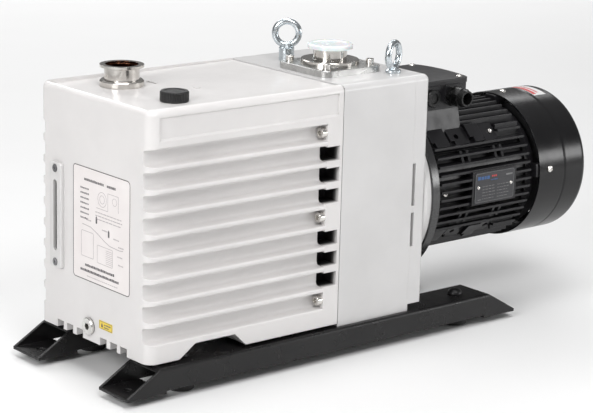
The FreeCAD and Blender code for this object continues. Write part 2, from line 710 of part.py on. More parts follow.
def eye_bolt(x, y, collar_height, turn):
    """Forged lifting eye: stud, round collar, and a ring that stands on it."""
    sunk = 2.2
    centre_z = CASING_TOP + collar_height + EYE_RING_R + EYE_WIRE_R - sunk
    ring = Part.makeTorus(EYE_RING_R, EYE_WIRE_R, V(x, y, centre_z), Y_DIR)
    collar = revolve_z([(0, CASING_TOP), (9.6, CASING_TOP), (10.0, CASING_TOP + 0.5),
                        (10.0, CASING_TOP + collar_height - 1.5), (7.5, CASING_TOP + collar_height),
                        (0, CASING_TOP + collar_height)], x, y)
    neck = Part.makeCone(7.5, 5.0, 3.6, V(x, y, CASING_TOP + collar_height), Z_DIR)
    stud = cyl_z(EYE_HOLE_R, CASING_TOP - 15, CASING_TOP, x, y)
    bolt = collar.fuse([ring, neck, stud])
    bolt.rotate(V(x, y, 0), Z_DIR, turn)
    return bolt


def make_eye_bolt_front():
    return eye_bolt(*EYE_FRONT, EYE_FRONT_COLLAR, EYE_FRONT_TURN)


def make_eye_bolt_rear():
    return eye_bolt(*EYE_REAR, EYE_REAR_COLLAR, EYE_REAR_TURN)


# ---------------------------------------------------------------- skid rails and feet
def make_rail_far():
    """Inverted channel with sloped ends; a tip plate closes the bottom of each end."""
    def side_outline(y):
        return [
            V(RAIL_FRONT_TIP, y, RAIL_WEB_BOTTOM - RAIL_SHEET),
            V(RAIL_FRONT_TIP, y, RAIL_WEB_BOTTOM),
            V(RAIL_FRONT_TIP + RAIL_END_RUN, y, RAIL_TOP),
            V(RAIL_REAR_TIP - RAIL_END_RUN, y, RAIL_TOP),
            V(RAIL_REAR_TIP, y, RAIL_WEB_BOTTOM),
            V(RAIL_REAR_TIP, y, RAIL_WEB_BOTTOM - RAIL_SHEET),
        ]

    body = prism(side_outline(RAIL_INNER), V(0, RAIL_OUTER - RAIL_INNER, 0))
    body = round_edges(body, 4.0, lambda e: straight_along(e, X_DIR)
                       and e.CenterOfMass.z > RAIL_TOP - 0.5)
    inside = box(RAIL_FRONT_TIP - 1, RAIL_REAR_TIP + 1, RAIL_INNER + RAIL_SHEET, RAIL_OUTER - RAIL_SHEET,
                 RAIL_WEB_BOTTOM, RAIL_TOP - RAIL_SHEET)
    below = box(RAIL_FRONT_TIP + TIP_PLATE_LENGTH, RAIL_REAR_TIP - TIP_PLATE_LENGTH, RAIL_INNER - 1,
                RAIL_OUTER + 1, RAIL_WEB_BOTTOM - RAIL_SHEET - 1, RAIL_WEB_BOTTOM)
    holes = []
    for x in FOOT_X:
        holes.append(cyl_z(M10_R, RAIL_TOP - RAIL_SHEET - 1, RAIL_TOP + 1, x, FOOT_Y))
    for x in RAIL_BOLT_X:
        holes.append(cyl_z(HOUSING_BOLT_R, RAIL_TOP - RAIL_SHEET - 1, RAIL_TOP + 1, x, FOOT_Y))
    for x in (RAIL_FRONT_TIP + TIP_HOLE_INSET, RAIL_REAR_TIP - TIP_HOLE_INSET):
        holes.append(cyl_z(TIP_HOLE_R, RAIL_WEB_BOTTOM - RAIL_SHEET - 1, RAIL_WEB_BOTTOM + 1, x, FOOT_Y))
    return body.cut([inside, below] + holes)


def make_rubber_feet():
    feet = []
    for x in FOOT_X:
        for side in (-1, 1):
            y = side * FOOT_Y
            seat = RAIL_TOP - RAIL_SHEET
            foot = revolve_z([(0, 0), (15.5, 0), (17.0, 1.5), (15.6, 14), (13.5, 17), (13.5, 22),
                              (14.5, 25), (14.5, seat), (0, seat)], x, y)
            feet.append(foot.cut(cyl_z(M10_R, 14, seat + 1, x, y)))
    return group(feet)


def make_foot_bolts():
    bolts = []
    for x in FOOT_X:
        for side in (-1, 1):
            y = side * FOOT_Y
            dome = revolve_z([(0, RAIL_TOP), (9.5, RAIL_TOP), (10.0, RAIL_TOP + 1.0),
                              (9.2, RAIL_TOP + 3.4), (7.0, RAIL_TOP + 5.6), (4.0, RAIL_TOP + 6.8),
                              (0, RAIL_TOP + 7.2)], x, y)
            bolts.append(dome.fuse(cyl_z(M10_R, 14.5, RAIL_TOP, x, y)))
    return group(bolts)


# ---------------------------------------------------------------- pump module
def module_block(x0, x1):
    block = box(x0, x1, -MODULE_HALF_WIDTH, MODULE_HALF_WIDTH, MODULE_BOTTOM, MODULE_TOP)
    return round_edges(block, 14.0, lambda e: straight_along(e, X_DIR))


def make_hv_stator():
    ring = module_block(HV_X, REAR_PLATE_X)
    ring = ring.cut(cyl_x(PUMP_BORE_R, HV_X - 1, REAR_PLATE_X + 1, 0, BORE_Z))
    intake = box(HV_X + 12, REAR_PLATE_X + 1, -62, -30, 205, 220)
    transfer = box(HV_X - 1, HV_X + 14, 30, 62, 205, 220)
    return ring.cut([intake, transfer])


def make_lv_stator():
    ring = module_block(LV_X, MIDDLE_PLATE_X)
    ring = ring.cut(cyl_x(PUMP_BORE_R, LV_X - 1, MIDDLE_PLATE_X + 1, 0, BORE_Z))
    intake = box(LV_X + 12, MIDDLE_PLATE_X + 1, -62, -30, 205, 220)
    cuts = [intake]
    for x in (LV_X + 13, LV_X + 27):
        cuts.append(cyl_z(5.0, SHAFT_Z + 30, MODULE_TOP + 1, x, EXHAUST_HOLE_Y))
    return ring.cut(cuts)


def make_rear_end_plate():
    plate = module_block(REAR_PLATE_X, HOUSING_FRONT)
    duct = cyl_x(14.0, REAR_PLATE_X + 8, HOUSING_FRONT + 1, -50, 212)
    port = box(REAR_PLATE_X - 1, REAR_PLATE_X + 10, -62, -38, 205, 220)
    return plate.cut([cyl_x(PUMP_SHAFT_R + RUNNING_GAP, REAR_PLATE_X - 1, HOUSING_FRONT + 1), duct, port])


def make_middle_plate():
    plate = module_block(MIDDLE_PLATE_X, HV_X)
    low_port = box(MIDDLE_PLATE_X - 1, MIDDLE_PLATE_X + 10, -62, -38, 205, 220)
    high_port = box(HV_X - 10, HV_X + 1, 38, 62, 205, 220)
    cross_duct = box(MIDDLE_PLATE_X + 5, HV_X - 5, -60, 60, 236, 248)
    drops = [box(MIDDLE_PLATE_X + 5, HV_X - 5, y, y + 14, 206, 240) for y in (-60, 46)]
    bore = cyl_x(PUMP_SHAFT_R + RUNNING_GAP, MIDDLE_PLATE_X - 1, HV_X + 1)
    return plate.cut([low_port, high_port, cross_duct, bore] + drops)


def make_front_end_plate():
    plate = module_block(FRONT_PLATE_X, LV_X)
    return plate.cut(cyl_x(PUMP_SHAFT_R + RUNNING_GAP, FRONT_PLATE_X + 4, LV_X + 1))


def rotor_slots(x0, x1):
    """Two blind vane slots, level with the shaft at rest."""
    inner_r = ROTOR_R - 26.2
    cuts = []
    for side in (-1, 1):
        y0, y1 = sorted((side * inner_r, side * (ROTOR_R + 1)))
        cuts.append(box(x0 - 1, x1 + 1, y0, y1, SHAFT_Z - VANE_SLOT / 2, SHAFT_Z + VANE_SLOT / 2))
    return cuts


def make_hv_rotor():
    """High-vacuum rotor, turned in one piece with the pump shaft."""
    end_gap = 0.1
    x0 = HV_X + end_gap
    x1 = REAR_PLATE_X - end_gap
    drum = cyl_x(ROTOR_R, x0, x1).cut(rotor_slots(x0, x1))
    shaft = cyl_x(PUMP_SHAFT_R, FRONT_PLATE_X + 6, SPIDER_X - 4)
    return drum.fuse(shaft).removeSplitter()


def make_lv_rotor():
    end_gap = 0.1
    x0 = LV_X + end_gap
    x1 = MIDDLE_PLATE_X - end_gap
    drum = cyl_x(ROTOR_R, x0, x1).cut(rotor_slots(x0, x1))
    return drum.cut(cyl_x(PUMP_SHAFT_R, x0 - 1, x1 + 1))


def make_vane(x0, x1, side):
    """Flat vane with a tip turned to the rotor's radius."""
    end_gap = 0.3
    tip_r = ROTOR_R - 0.3
    y0, y1 = sorted((side * (tip_r - VANE_HEIGHT), side * (tip_r + 1)))
    blade = box(x0 + end_gap, x1 - end_gap, y0, y1, SHAFT_Z - VANE_T / 2, SHAFT_Z + VANE_T / 2)
    return blade.common(cyl_x(tip_r, x0, x1))


def make_exhaust_valve():
    """Spring-steel leaf over the low-vacuum stage's two exhaust holes, with a rolled root."""
    x0 = LV_X + 5
    x1 = LV_X + 35
    leaf = box(x0, x1, 12, VALVE_HINGE_Y, MODULE_TOP, MODULE_TOP + LEAF_T)
    root = cyl_x(LEAF_T / 2, x0, x1, VALVE_HINGE_Y, MODULE_TOP + LEAF_T / 2)
    return leaf.fuse(root).removeSplitter()


def make_valve_guard():
    """Clamp block and stop above the exhaust leaf."""
    x0 = LV_X + 5
    width = 30.0
    inner_y = VALVE_HINGE_Y + LEAF_T
    clamp = box(x0, x0 + width, inner_y, 60, MODULE_TOP, MODULE_TOP + 3)
    outline = [(60, 3), (inner_y, 3), (12, 8), (12, 11), (inner_y, 6), (60, 6)]
    stop = prism([V(x0, y, MODULE_TOP + rise) for y, rise in outline], V(width, 0, 0))
    return clamp.fuse(stop).removeSplitter()


def make_shaft_seal():
    return cyl_x(26.0, HOUSING_FRONT + 6, HOUSING_FRONT + 18).cut(
        cyl_x(PUMP_SHAFT_R + RUNNING_GAP, HOUSING_FRONT, HOUSING_FRONT + 20))


# ---------------------------------------------------------------- shaft coupling
def ring_sector(x0, x1, r_in, r_out, angle_mid, angle_span):
    """A block between two radii and two angles about the shaft line."""
    reach = r_out * 2
    half = math.radians(angle_span / 2)
    middle = math.radians(angle_mid)
    points = [V(x0, 0, SHAFT_Z)]
    for a in (middle - half, middle, middle + half):
        points.append(V(x0, reach * math.cos(a), SHAFT_Z + reach * math.sin(a)))
    wedge = prism(points, V(x1 - x0, 0, 0))
    return cyl_x(r_out, x0, x1).cut(cyl_x(r_in, x0 - 1, x1 + 1)).common(wedge)


def make_coupling_hub_pump():
    hub = cyl_x(COUPLING_R, PUMP_HUB_X, SPIDER_X)
    claw_end = SPIDER_X + SPIDER_T - 2
    claws = [ring_sector(SPIDER_X - 0.5, claw_end, CLAW_R_IN, COUPLING_R, 120 * k, CLAW_ANGLE)
             for k in range(CLAW_COUNT)]
    return hub.fuse(claws).cut(cyl_x(PUMP_SHAFT_R, PUMP_HUB_X - 1, SPIDER_X - 4)).removeSplitter()


def make_coupling_hub_motor():
    face = SPIDER_X + SPIDER_T + 0.6
    hub = cyl_x(COUPLING_R, face, MOTOR_HUB_END)
    claws = [ring_sector(SPIDER_X + 2, face + 0.5, CLAW_R_IN, COUPLING_R, 120 * k + 60, CLAW_ANGLE)
             for k in range(CLAW_COUNT)]
    return hub.fuse(claws).cut(cyl_x(MOTOR_SHAFT_R, face + 6, MOTOR_HUB_END + 1)).removeSplitter()


def make_coupling_spider():
    """Elastic star whose six arms fill the gaps between the claws of both hubs."""
    x0 = SPIDER_X + 0.3
    x1 = SPIDER_X + SPIDER_T
    parts = [cyl_x(CLAW_R_IN - 0.4, x0, x1)]
    for k in range(2 * CLAW_COUNT):
        arm = ring_sector(x0, x1, CLAW_R_IN - 2, COUPLING_R - 1.5, 30 + 60 * k, 60 - CLAW_ANGLE - 2.4)
        parts.append(arm)
    return fuse(parts)


# ---------------------------------------------------------------- motor
def make_motor_flange():
    """Drive-end shield with its large mounting flange and bearing seat."""
    shield = revolve_x([(78, 60), (78, SPIGOT_R), (MOTOR_FACE, SPIGOT_R), (MOTOR_FACE, FLANGE_R),
                        (FLANGE_REAR - 1.2, FLANGE_R), (FLANGE_REAR, FLANGE_R - 1.2),
                        (FLANGE_REAR, 96), (108, 91), (FRAME_X, 90), (FRAME_X, 78), (110, 74),
                        (110, 60)])
    hub = cyl_x(60.5, 88, 112)
    shield = shield.fuse(hub)
    cuts = [cyl_x(BEARING_OUT_R, BEARING_X[0], 113), cyl_x(16.5, 77, 113)]
    hole = cyl_x(6.5, MOTOR_FACE - 1, 96, 0, SHAFT_Z + FLANGE_BOLT_R)
    for k in range(4):
        cuts.append(turned_about_shaft(hole, 45 + 90 * k))
    return shield.cut(cuts).removeSplitter()


def side_fins():
    """Level fins on the near and far sides, clipped to the round envelope."""
    fins = []
    for k in range(-5, 6):
        rise = k * FIN_PITCH
        reach = math.sqrt(FIN_R ** 2 - rise ** 2)
        fins.append(box(FRAME_X + 6, FRAME_END - 8, -reach, reach,
                        SHAFT_Z + rise - FIN_HALF_T, SHAFT_Z + rise + FIN_HALF_T))
    return fins


def upright_fins():
    """Upright fins on the top and bottom, clipped to the round envelope."""
    fins = []
    outermost = 52.5
    for y in [-outermost] + [k * FIN_PITCH for k in range(-4, 5)] + [outermost]:
        reach = math.sqrt(FIN_R ** 2 - y ** 2)
        fins.append(box(FRAME_X + 6, FRAME_END - 8, y - FIN_HALF_T, y + FIN_HALF_T,
                        SHAFT_Z - reach, SHAFT_Z + reach))
    return fins


def corner_fins():
    """Short fins behind the foot pads, where the level and the upright fins meet at 45 degrees."""
    fins = []
    x0 = FOOT_PADS[-1][1] + 2
    x1 = FRAME_END - 8
    for side in (-1, 1):
        rise = side * 6 * FIN_PITCH
        reach = math.sqrt(FIN_R ** 2 - rise ** 2)
        fins.append(box(x0, x1, -reach, reach, SHAFT_Z + rise - FIN_HALF_T, SHAFT_Z + rise + FIN_HALF_T))
        y = side * 63.5
        reach = math.sqrt(FIN_R ** 2 - y ** 2)
        fins.append(box(x0, x1, y - FIN_HALF_T, y + FIN_HALF_T, SHAFT_Z - reach, SHAFT_Z + reach))
    return fins


def foot_fixings():
    """Cast pads at 45 degrees that detachable feet could be screwed on: notched blocks on a low shelf."""
    blocks = []
    for angle in DIAGONALS:
        shelf = box(FRAME_X + 6, FOOT_PADS[-1][1] + 3, -19, 19, SHAFT_Z + FRAME_TUBE_R - 4, SHAFT_Z + 88)
        blocks.append(turned_about_shaft(shelf, angle))
        for x0, x1, rise in FOOT_PADS:
            pad = box(x0, x1, -14, 14, SHAFT_Z + 87, SHAFT_Z + rise)
            notch = box(x0 - 1, x0 + 6, -15, -6, SHAFT_Z + 89, SHAFT_Z + rise + 1)
            blocks.append(turned_about_shaft(pad.cut(notch), angle))
    return blocks


def fin_lugs():
    """Posts that tie the fins together beside each pad, on all four quarters."""
    lugs = []
    for angle in (26, 154, 206, 334):
        for x in FOOT_HOLES_X:
            for offset in (-8, 4):
                lug = box(x + offset, x + offset + 4, -FIN_R + 2.5, -FRAME_TUBE_R + 2,
                          SHAFT_Z - 9, SHAFT_Z + 9)
                lugs.append(turned_about_shaft(lug, -angle))
    return lugs


def terminal_seat():
    """Sloped pedestal under the terminal box."""
    x0 = FRAME_X + 8
    foot = V(x0, -60, SHAFT_Z + 58)
    shoulder = V(x0, -50, TERMINAL_BASE)
    points = [foot, shoulder, V(x0, 50, TERMINAL_BASE), V(x0, 60, SHAFT_Z + 58)]
    return prism(points, V(192 - x0, 0, 0))


def make_motor_frame():
    tube = cyl_x(FRAME_TUBE_R, FRAME_X, FRAME_END)
    tube = tube.fuse(cyl_x(92, FRAME_X, FRAME_X + 7))
    tube = tube.fuse(cyl_x(87, FRAME_END - 9, FRAME_END))
    plate_seat = box(NAMEPLATE_X[0] - 4, NAMEPLATE_X[1] + 4, NAMEPLATE_Y, -FRAME_TUBE_R + 6,
                     NAMEPLATE_Z[0] - 2, NAMEPLATE_Z[1] + 2)
    blocks = side_fins() + upright_fins() + corner_fins() + foot_fixings() + fin_lugs()
    body = tube.fuse(blocks + [terminal_seat(), plate_seat])
    cuts = [cyl_x(CORE_R, FRAME_X - 1, FRAME_END + 1)]
    cuts.append(cyl_z(10.0, SHAFT_Z + 70, TERMINAL_BASE + 1, WIRE_HOLE_X, 0))
    for angle in DIAGONALS:
        for x in FOOT_HOLES_X:
            hole = cyl_z(4.0, SHAFT_Z + FRAME_TUBE_R - 2, SHAFT_Z + FIN_R + 5, x, 0)
            cuts.append(turned_about_shaft(hole, angle))
    return body.cut(cuts).removeSplitter()


def make_motor_rear_shield():
    shield = revolve_x([(FRAME_END - 12, 36), (FRAME_END - 12, 75.9), (FRAME_END, 75.9), (FRAME_END, 87),
                        (FRAME_END + 8, 86), (FRAME_END + 12, 60), (FRAME_END + 12, 36)])
    hub = cyl_x(37, BEARING_X[1] - 2, FRAME_END + 12)
    shield = shield.fuse(hub)
    lug_end = COWL_SCREW_X + 8
    for turn in COWL_SCREW_TURNS:
        root = box(FRAME_END, FRAME_END + 8, -9, 9, SHAFT_Z + 80, SHAFT_Z + COWL_R - COWL_SHEET)
        lug = box(FRAME_END, lug_end, -9, 9, SHAFT_Z + FAN_R + 2.5, SHAFT_Z + COWL_R - COWL_SHEET)
        shield = shield.fuse([turned_about_shaft(root, turn), turned_about_shaft(lug, turn)])
    limit = cyl_x(COWL_R - COWL_SHEET, FRAME_END - 20, lug_end + 1)
    shield = shield.common(limit)
    cuts = [cyl_x(BEARING_OUT_R, BEARING_X[1] - 3, BEARING_X[1] + BEARING_T)]
    cuts.append(cyl_x(16.5, FRAME_END - 20, FRAME_END + 13))
    hole = cyl_z(COVER_SCREW_R, SHAFT_Z + 80, SHAFT_Z + 105, COWL_SCREW_X, 0)
    for turn in COWL_SCREW_TURNS:
        cuts.append(turned_about_shaft(hole, turn))
    return shield.cut(cuts).removeSplitter()


def make_stator_core():
    return cyl_x(CORE_R, *CORE_X).cut(cyl_x(CORE_BORE_R, CORE_X[0] - 1, CORE_X[1] + 1))


def make_stator_windings():
    ends = []
    for x0, x1 in ((CORE_X[0] - 26, CORE_X[0]), (CORE_X[1], CORE_X[1] + 22)):
        ring = cyl_x(72.0, x0, x1).cut(cyl_x(54.0, x0 - 1, x1 + 1))
        ring = round_edges(ring, 5.0, lambda e: e.Closed)
        ends.append(ring)
    return group(ends)


def make_bearing_outer_rings():
    """Outer rings and balls of both motor bearings."""
    solids = []
    for x0 in BEARING_X:
        ring = cyl_x(BEARING_OUT_R, x0, x0 + BEARING_T).cut(cyl_x(27.8, x0 - 1, x0 + BEARING_T + 1))
        solids.append(ring)
        for k in range(9):
            a = math.radians(40 * k)
            centre = V(x0 + BEARING_T / 2, BALL_PITCH_R * math.cos(a), SHAFT_Z + BALL_PITCH_R * math.sin(a))
            solids.append(Part.makeSphere(BALL_R, centre))
    return group(solids)


def make_motor_shaft():
    """Stepped shaft with the inner bearing rings pressed on."""
    shaft = revolve_x([(22, 0), (22, 13), (23, MOTOR_SHAFT_R), (86, MOTOR_SHAFT_R), (86, BEARING_IN_R),
                       (108, BEARING_IN_R), (108, ROTOR_SHAFT_R), (282, ROTOR_SHAFT_R),
                       (282, BEARING_IN_R), (312, BEARING_IN_R), (312, 12), (346, 12), (347, 11),
                       (347, 0)])
    rings = [cyl_x(18.2, x0 + 0.5, x0 + BEARING_T - 0.5) for x0 in BEARING_X]
    return shaft.fuse(rings).removeSplitter()


def make_rotor_core():
    hole = cyl_x(ROTOR_SHAFT_R, CORE_X[0] - 1, CORE_X[1] + 1)
    return cyl_x(CORE_BORE_R - AIR_GAP, *CORE_X).cut(hole)


def make_cooling_fan():
    """Plastic radial fan: hub, back plate and straight blades."""
    hub = cyl_x(19.0, FAN_X, FAN_X + 22)
    disc = revolve_x([(FAN_X, 0), (FAN_X, FAN_R), (FAN_X + 3, FAN_R), (FAN_X + 3, 0)])
    blades = []
    for k in range(FAN_BLADES):
        outline = [(0.5, 15), (0.5, FAN_R), (20, FAN_R), (26, 40), (22, 15)]
        points = [V(FAN_X + along, 0, SHAFT_Z + radius) for along, radius in outline]
        blade = prism(points, V(0, 3, 0))
        blade.translate(V(0, -1.5, 0))
        blades.append(turned_about_shaft(blade, 360.0 * k / FAN_BLADES))
    fan = hub.fuse([disc] + blades)
    return fan.cut(cyl_x(12, FAN_X - 1, FAN_X + 24)).removeSplitter()


def cowl_shell_profile(radius, front, back, corner):
    """Outline of one half of a cup with a rounded closed end, as a face to be turned."""
    start = V(front, 0, SHAFT_Z)
    p1 = V(front, 0, SHAFT_Z + radius)
    p2 = V(back - corner, 0, SHAFT_Z + radius)
    half = corner * math.cos(math.radians(45))
    middle = V(back - corner + half, 0, SHAFT_Z + radius - corner + half)
    p3 = V(back, 0, SHAFT_Z + radius - corner)
    p4 = V(back, 0, SHAFT_Z)
    edges = [Part.LineSegment(start, p1).toShape(), Part.LineSegment(p1, p2).toShape(),
             Part.Arc(p2, middle, p3).toShape(), Part.LineSegment(p3, p4).toShape(),
             Part.LineSegment(p4, start).toShape()]
    return Part.Face(Part.Wire(edges)).revolve(V(0, 0, SHAFT_Z), X_DIR, 360)


def make_fan_cowl():
    outer = cowl_shell_profile(COWL_R, COWL_X, MOTOR_REAR, 11.0)
    inner = cowl_shell_profile(COWL_R - COWL_SHEET, COWL_X - 1, MOTOR_REAR - COWL_SHEET, 9.0)
    cowl = outer.cut(inner)
    crease_x = 353.0
    crease = revolve_x([(crease_x, COWL_R - 0.9), (crease_x, COWL_R + 1), (crease_x + 4.5, COWL_R + 1),
                        (crease_x + 4.5, COWL_R)])
    cuts = [crease]
    for radius in GRILLE_RINGS:
        slot = cyl_x(radius, MOTOR_REAR - 5, MOTOR_REAR + 1).cut(
            cyl_x(radius - GRILLE_SLOT, MOTOR_REAR - 6, MOTOR_REAR + 2))
        spokes = []
        for k in range(GRILLE_SPOKES):
            spoke = box(MOTOR_REAR - 6, MOTOR_REAR + 2, -2.5, 2.5, SHAFT_Z, SHAFT_Z + COWL_R)
            spokes.append(turned_about_shaft(spoke, 360.0 * k / GRILLE_SPOKES))
        cuts.append(slot.cut(spokes))
    hole = cyl_z(2.7, SHAFT_Z + 90, SHAFT_Z + 105, COWL_SCREW_X, 0)
    for turn in COWL_SCREW_TURNS:
        cuts.append(turned_about_shaft(hole, turn))
    return cowl.cut(cuts)


def cover_screw(x, y, seat):
    """M5 pan-head screw with a crossed recess, pointing down from its seat."""
    head_h = 3.0
    r = COVER_SCREW_HEAD_R
    head = revolve_z([(0, seat), (r, seat), (r, seat + head_h * 0.45), (r * 0.7, seat + head_h * 0.9),
                      (r * 0.3, seat + head_h), (0, seat + head_h)], x, y)
    recess_z = seat + head_h * 0.45
    slot = box(x - r * 0.62, x + r * 0.62, y - 0.6, y + 0.6, recess_z, seat + head_h + 1)
    cross = box(x - 0.6, x + 0.6, y - r * 0.62, y + r * 0.62, recess_z, seat + head_h + 1)
    return head.fuse(cyl_z(COVER_SCREW_R, seat - COVER_SCREW_LENGTH, seat, x, y)).cut([slot, cross])


def make_motor_cover_screws():
    """Four alike screws in the fan cowl and four in the terminal box lid."""
    screw = cover_screw(COWL_SCREW_X, 0, SHAFT_Z + COWL_R)
    screws = [turned_about_shaft(screw, turn) for turn in COWL_SCREW_TURNS]
    for x, y in lid_screw_places():
        screws.append(cover_screw(x, y, LID_SCREW_SEAT))
    return group(screws)


# ---------------------------------------------------------------- terminal box
def gland_pad(x):
    """Raised pad round a cable entry: flat-topped, with a half-round bottom."""
    r = 14.0
    y0 = -BOX_HALF - GLAND_PAD
    disc = cyl_y(r, y0, -BOX_HALF + 3, x, GLAND_Z)
    return disc.fuse(box(x - r, x + r, y0, -BOX_HALF + 3, GLAND_Z, BOX_RIM - 1))


def make_terminal_box():
    body = box(*BOX_X, -BOX_HALF, BOX_HALF, TERMINAL_BASE, BOX_RIM)
    body = round_edges(body, 6.0, lambda e: straight_along(e, Z_DIR))
    room = box(BOX_X[0] + 5, BOX_X[1] - 5, -BOX_HALF + 6, BOX_HALF - 6, TERMINAL_BASE + 5, BOX_RIM + 1)
    room = round_edges(room, 4.0, lambda e: straight_along(e, Z_DIR))
    pads = [gland_pad(x) for x in (PLUG_X, GLAND_X)]
    wire_hole = cyl_z(10.0, TERMINAL_BASE - 1, TERMINAL_BASE + 6, WIRE_HOLE_X, 0)
    body = body.fuse(pads).cut([room, wire_hole])
    posts = []
    for x, y in lid_screw_places():
        posts.append(cyl_z(5.5, TERMINAL_BASE + 1, BOX_RIM, x, y))
    body = body.fuse(posts)
    cuts = []
    for x, y in lid_screw_places():
        cuts.append(cyl_z(COVER_SCREW_R, BOX_RIM - 16, BOX_RIM + 1, x, y))
    for x in (PLUG_X, GLAND_X):
        cuts.append(cyl_y(GLAND_HOLE_R, -BOX_HALF - 3, -BOX_HALF + 7, x, GLAND_Z))
    return body.cut(cuts).removeSplitter()


def lid_screw_places():
    places = []
    for x in (BOX_X[0] + 8.5, BOX_X[1] - 8.5):
        for y in (-BOX_HALF + 8.5, BOX_HALF - 8.5):
            places.append((x, y))
    return places


def make_terminal_box_lid():
    """Lid with an overhanging rim and a gently crowned top."""
    over = 1.0
    x0 = BOX_X[0] - over
    x1 = BOX_X[1] + over
    half = BOX_HALF + over
    p0 = V(x0, -half, BOX_RIM)
    p1 = V(x0, -half, LID_EDGE)
    p2 = V(x0, 0, LID_CROWN)
    p3 = V(x0, half, LID_EDGE)
    p4 = V(x0, half, BOX_RIM)
    edges = [Part.LineSegment(p0, p1).toShape(), Part.Arc(p1, p2, p3).toShape(),
             Part.LineSegment(p3, p4).toShape(), Part.LineSegment(p4, p0).toShape()]
    lid = Part.Face(Part.Wire(edges)).extrude(V(x1 - x0, 0, 0))
    lid = round_edges(lid, 7.0, lambda e: straight_along(e, Z_DIR))
    lid = round_edges(lid, 1.2, lambda e: e.CenterOfMass.z > LID_EDGE - 0.5)
    lid = lid.cut(box(x0 + 6, x1 - 6, -half + 7, half - 7, BOX_RIM - 1, LID_EDGE - 3))
    posts = [cyl_z(6.0, BOX_RIM, LID_EDGE - 2, x, y) for x, y in lid_screw_places()]
    cuts = []
    for x, y in lid_screw_places():
        cuts.append(cyl_z(COVER_SCREW_R + 0.2, BOX_RIM - 1, LID_CROWN + 1, x, y))
        cuts.append(cyl_z(COVER_SCREW_HEAD_R + 0.4, LID_SCREW_SEAT, LID_CROWN + 1, x, y))
    return lid.fuse(posts).cut(cuts).removeSplitter()


def make_cable_gland():
    """Gland body, hexagon, clamping nut and open mouth; no cable is fitted."""
    face = -BOX_HALF - GLAND_PAD
    body = cyl_y(GLAND_HOLE_R, face - 8, -BOX_HALF + 8, GLAND_X, GLAND_Z)
    hexagon = hex_y(25.0, face - 6, face, GLAND_X, GLAND_Z, 0)
    thread = cyl_y(11.2, face - 9, face - 5, GLAND_X, GLAND_Z)
    nut = hex_y(25.0, face - 20, face - 8, GLAND_X, GLAND_Z, 15)
    nut = nut.common(cyl_y(13.4, face - 30, face, GLAND_X, GLAND_Z))
    dome = Part.makeCone(12.2, 10.6, 8, V(GLAND_X, face - 19.9, GLAND_Z), V(0, -1, 0))
    gland = body.fuse([hexagon, thread, nut, dome])
    mouth = cyl_y(8.2, face - 40, face - 12, GLAND_X, GLAND_Z)
    bore = cyl_y(6.5, face - 12.5, -BOX_HALF + 9, GLAND_X, GLAND_Z)
    return gland.cut([mouth, bore]).removeSplitter()


def make_blanking_plug():
    face = -BOX_HALF - GLAND_PAD
    head = cyl_y(12.0, face - 4, face, PLUG_X, GLAND_Z)
    head = head.makeChamfer(1.0, edges_where(head, lambda e: e.Closed
                                             and e.CenterOfMass.y < face - 3.5))
    head = head.cut(cyl_y(7.5, face - 5, face - 2, PLUG_X, GLAND_Z))
    return head.fuse(cyl_y(GLAND_HOLE_R, face - 0.1, -BOX_HALF + 8, PLUG_X, GLAND_Z)).removeSplitter()


def make_terminal_block():
    """Insulating board with six terminal studs for the winding links."""
    board = box(138, 186, -28, 28, TERMINAL_BASE + 5, TERMINAL_BASE + 15)
    board = board.cut(cyl_z(7.0, TERMINAL_BASE, TERMINAL_BASE + 16, WIRE_HOLE_X, 0))
    studs = []
    for x in (148, 177):
        for y in (-18, 0, 18):
            studs.append(cyl_z(2.5, TERMINAL_BASE + 14, TERMINAL_BASE + 27, x, y))
    return board.fuse(studs)


def make_motor_nameplate():
    plate = box(*NAMEPLATE_X, NAMEPLATE_Y - 0.8, NAMEPLATE_Y, *NAMEPLATE_Z)
    return round_edges(plate, 3.0, lambda e: straight_along(e, Y_DIR))


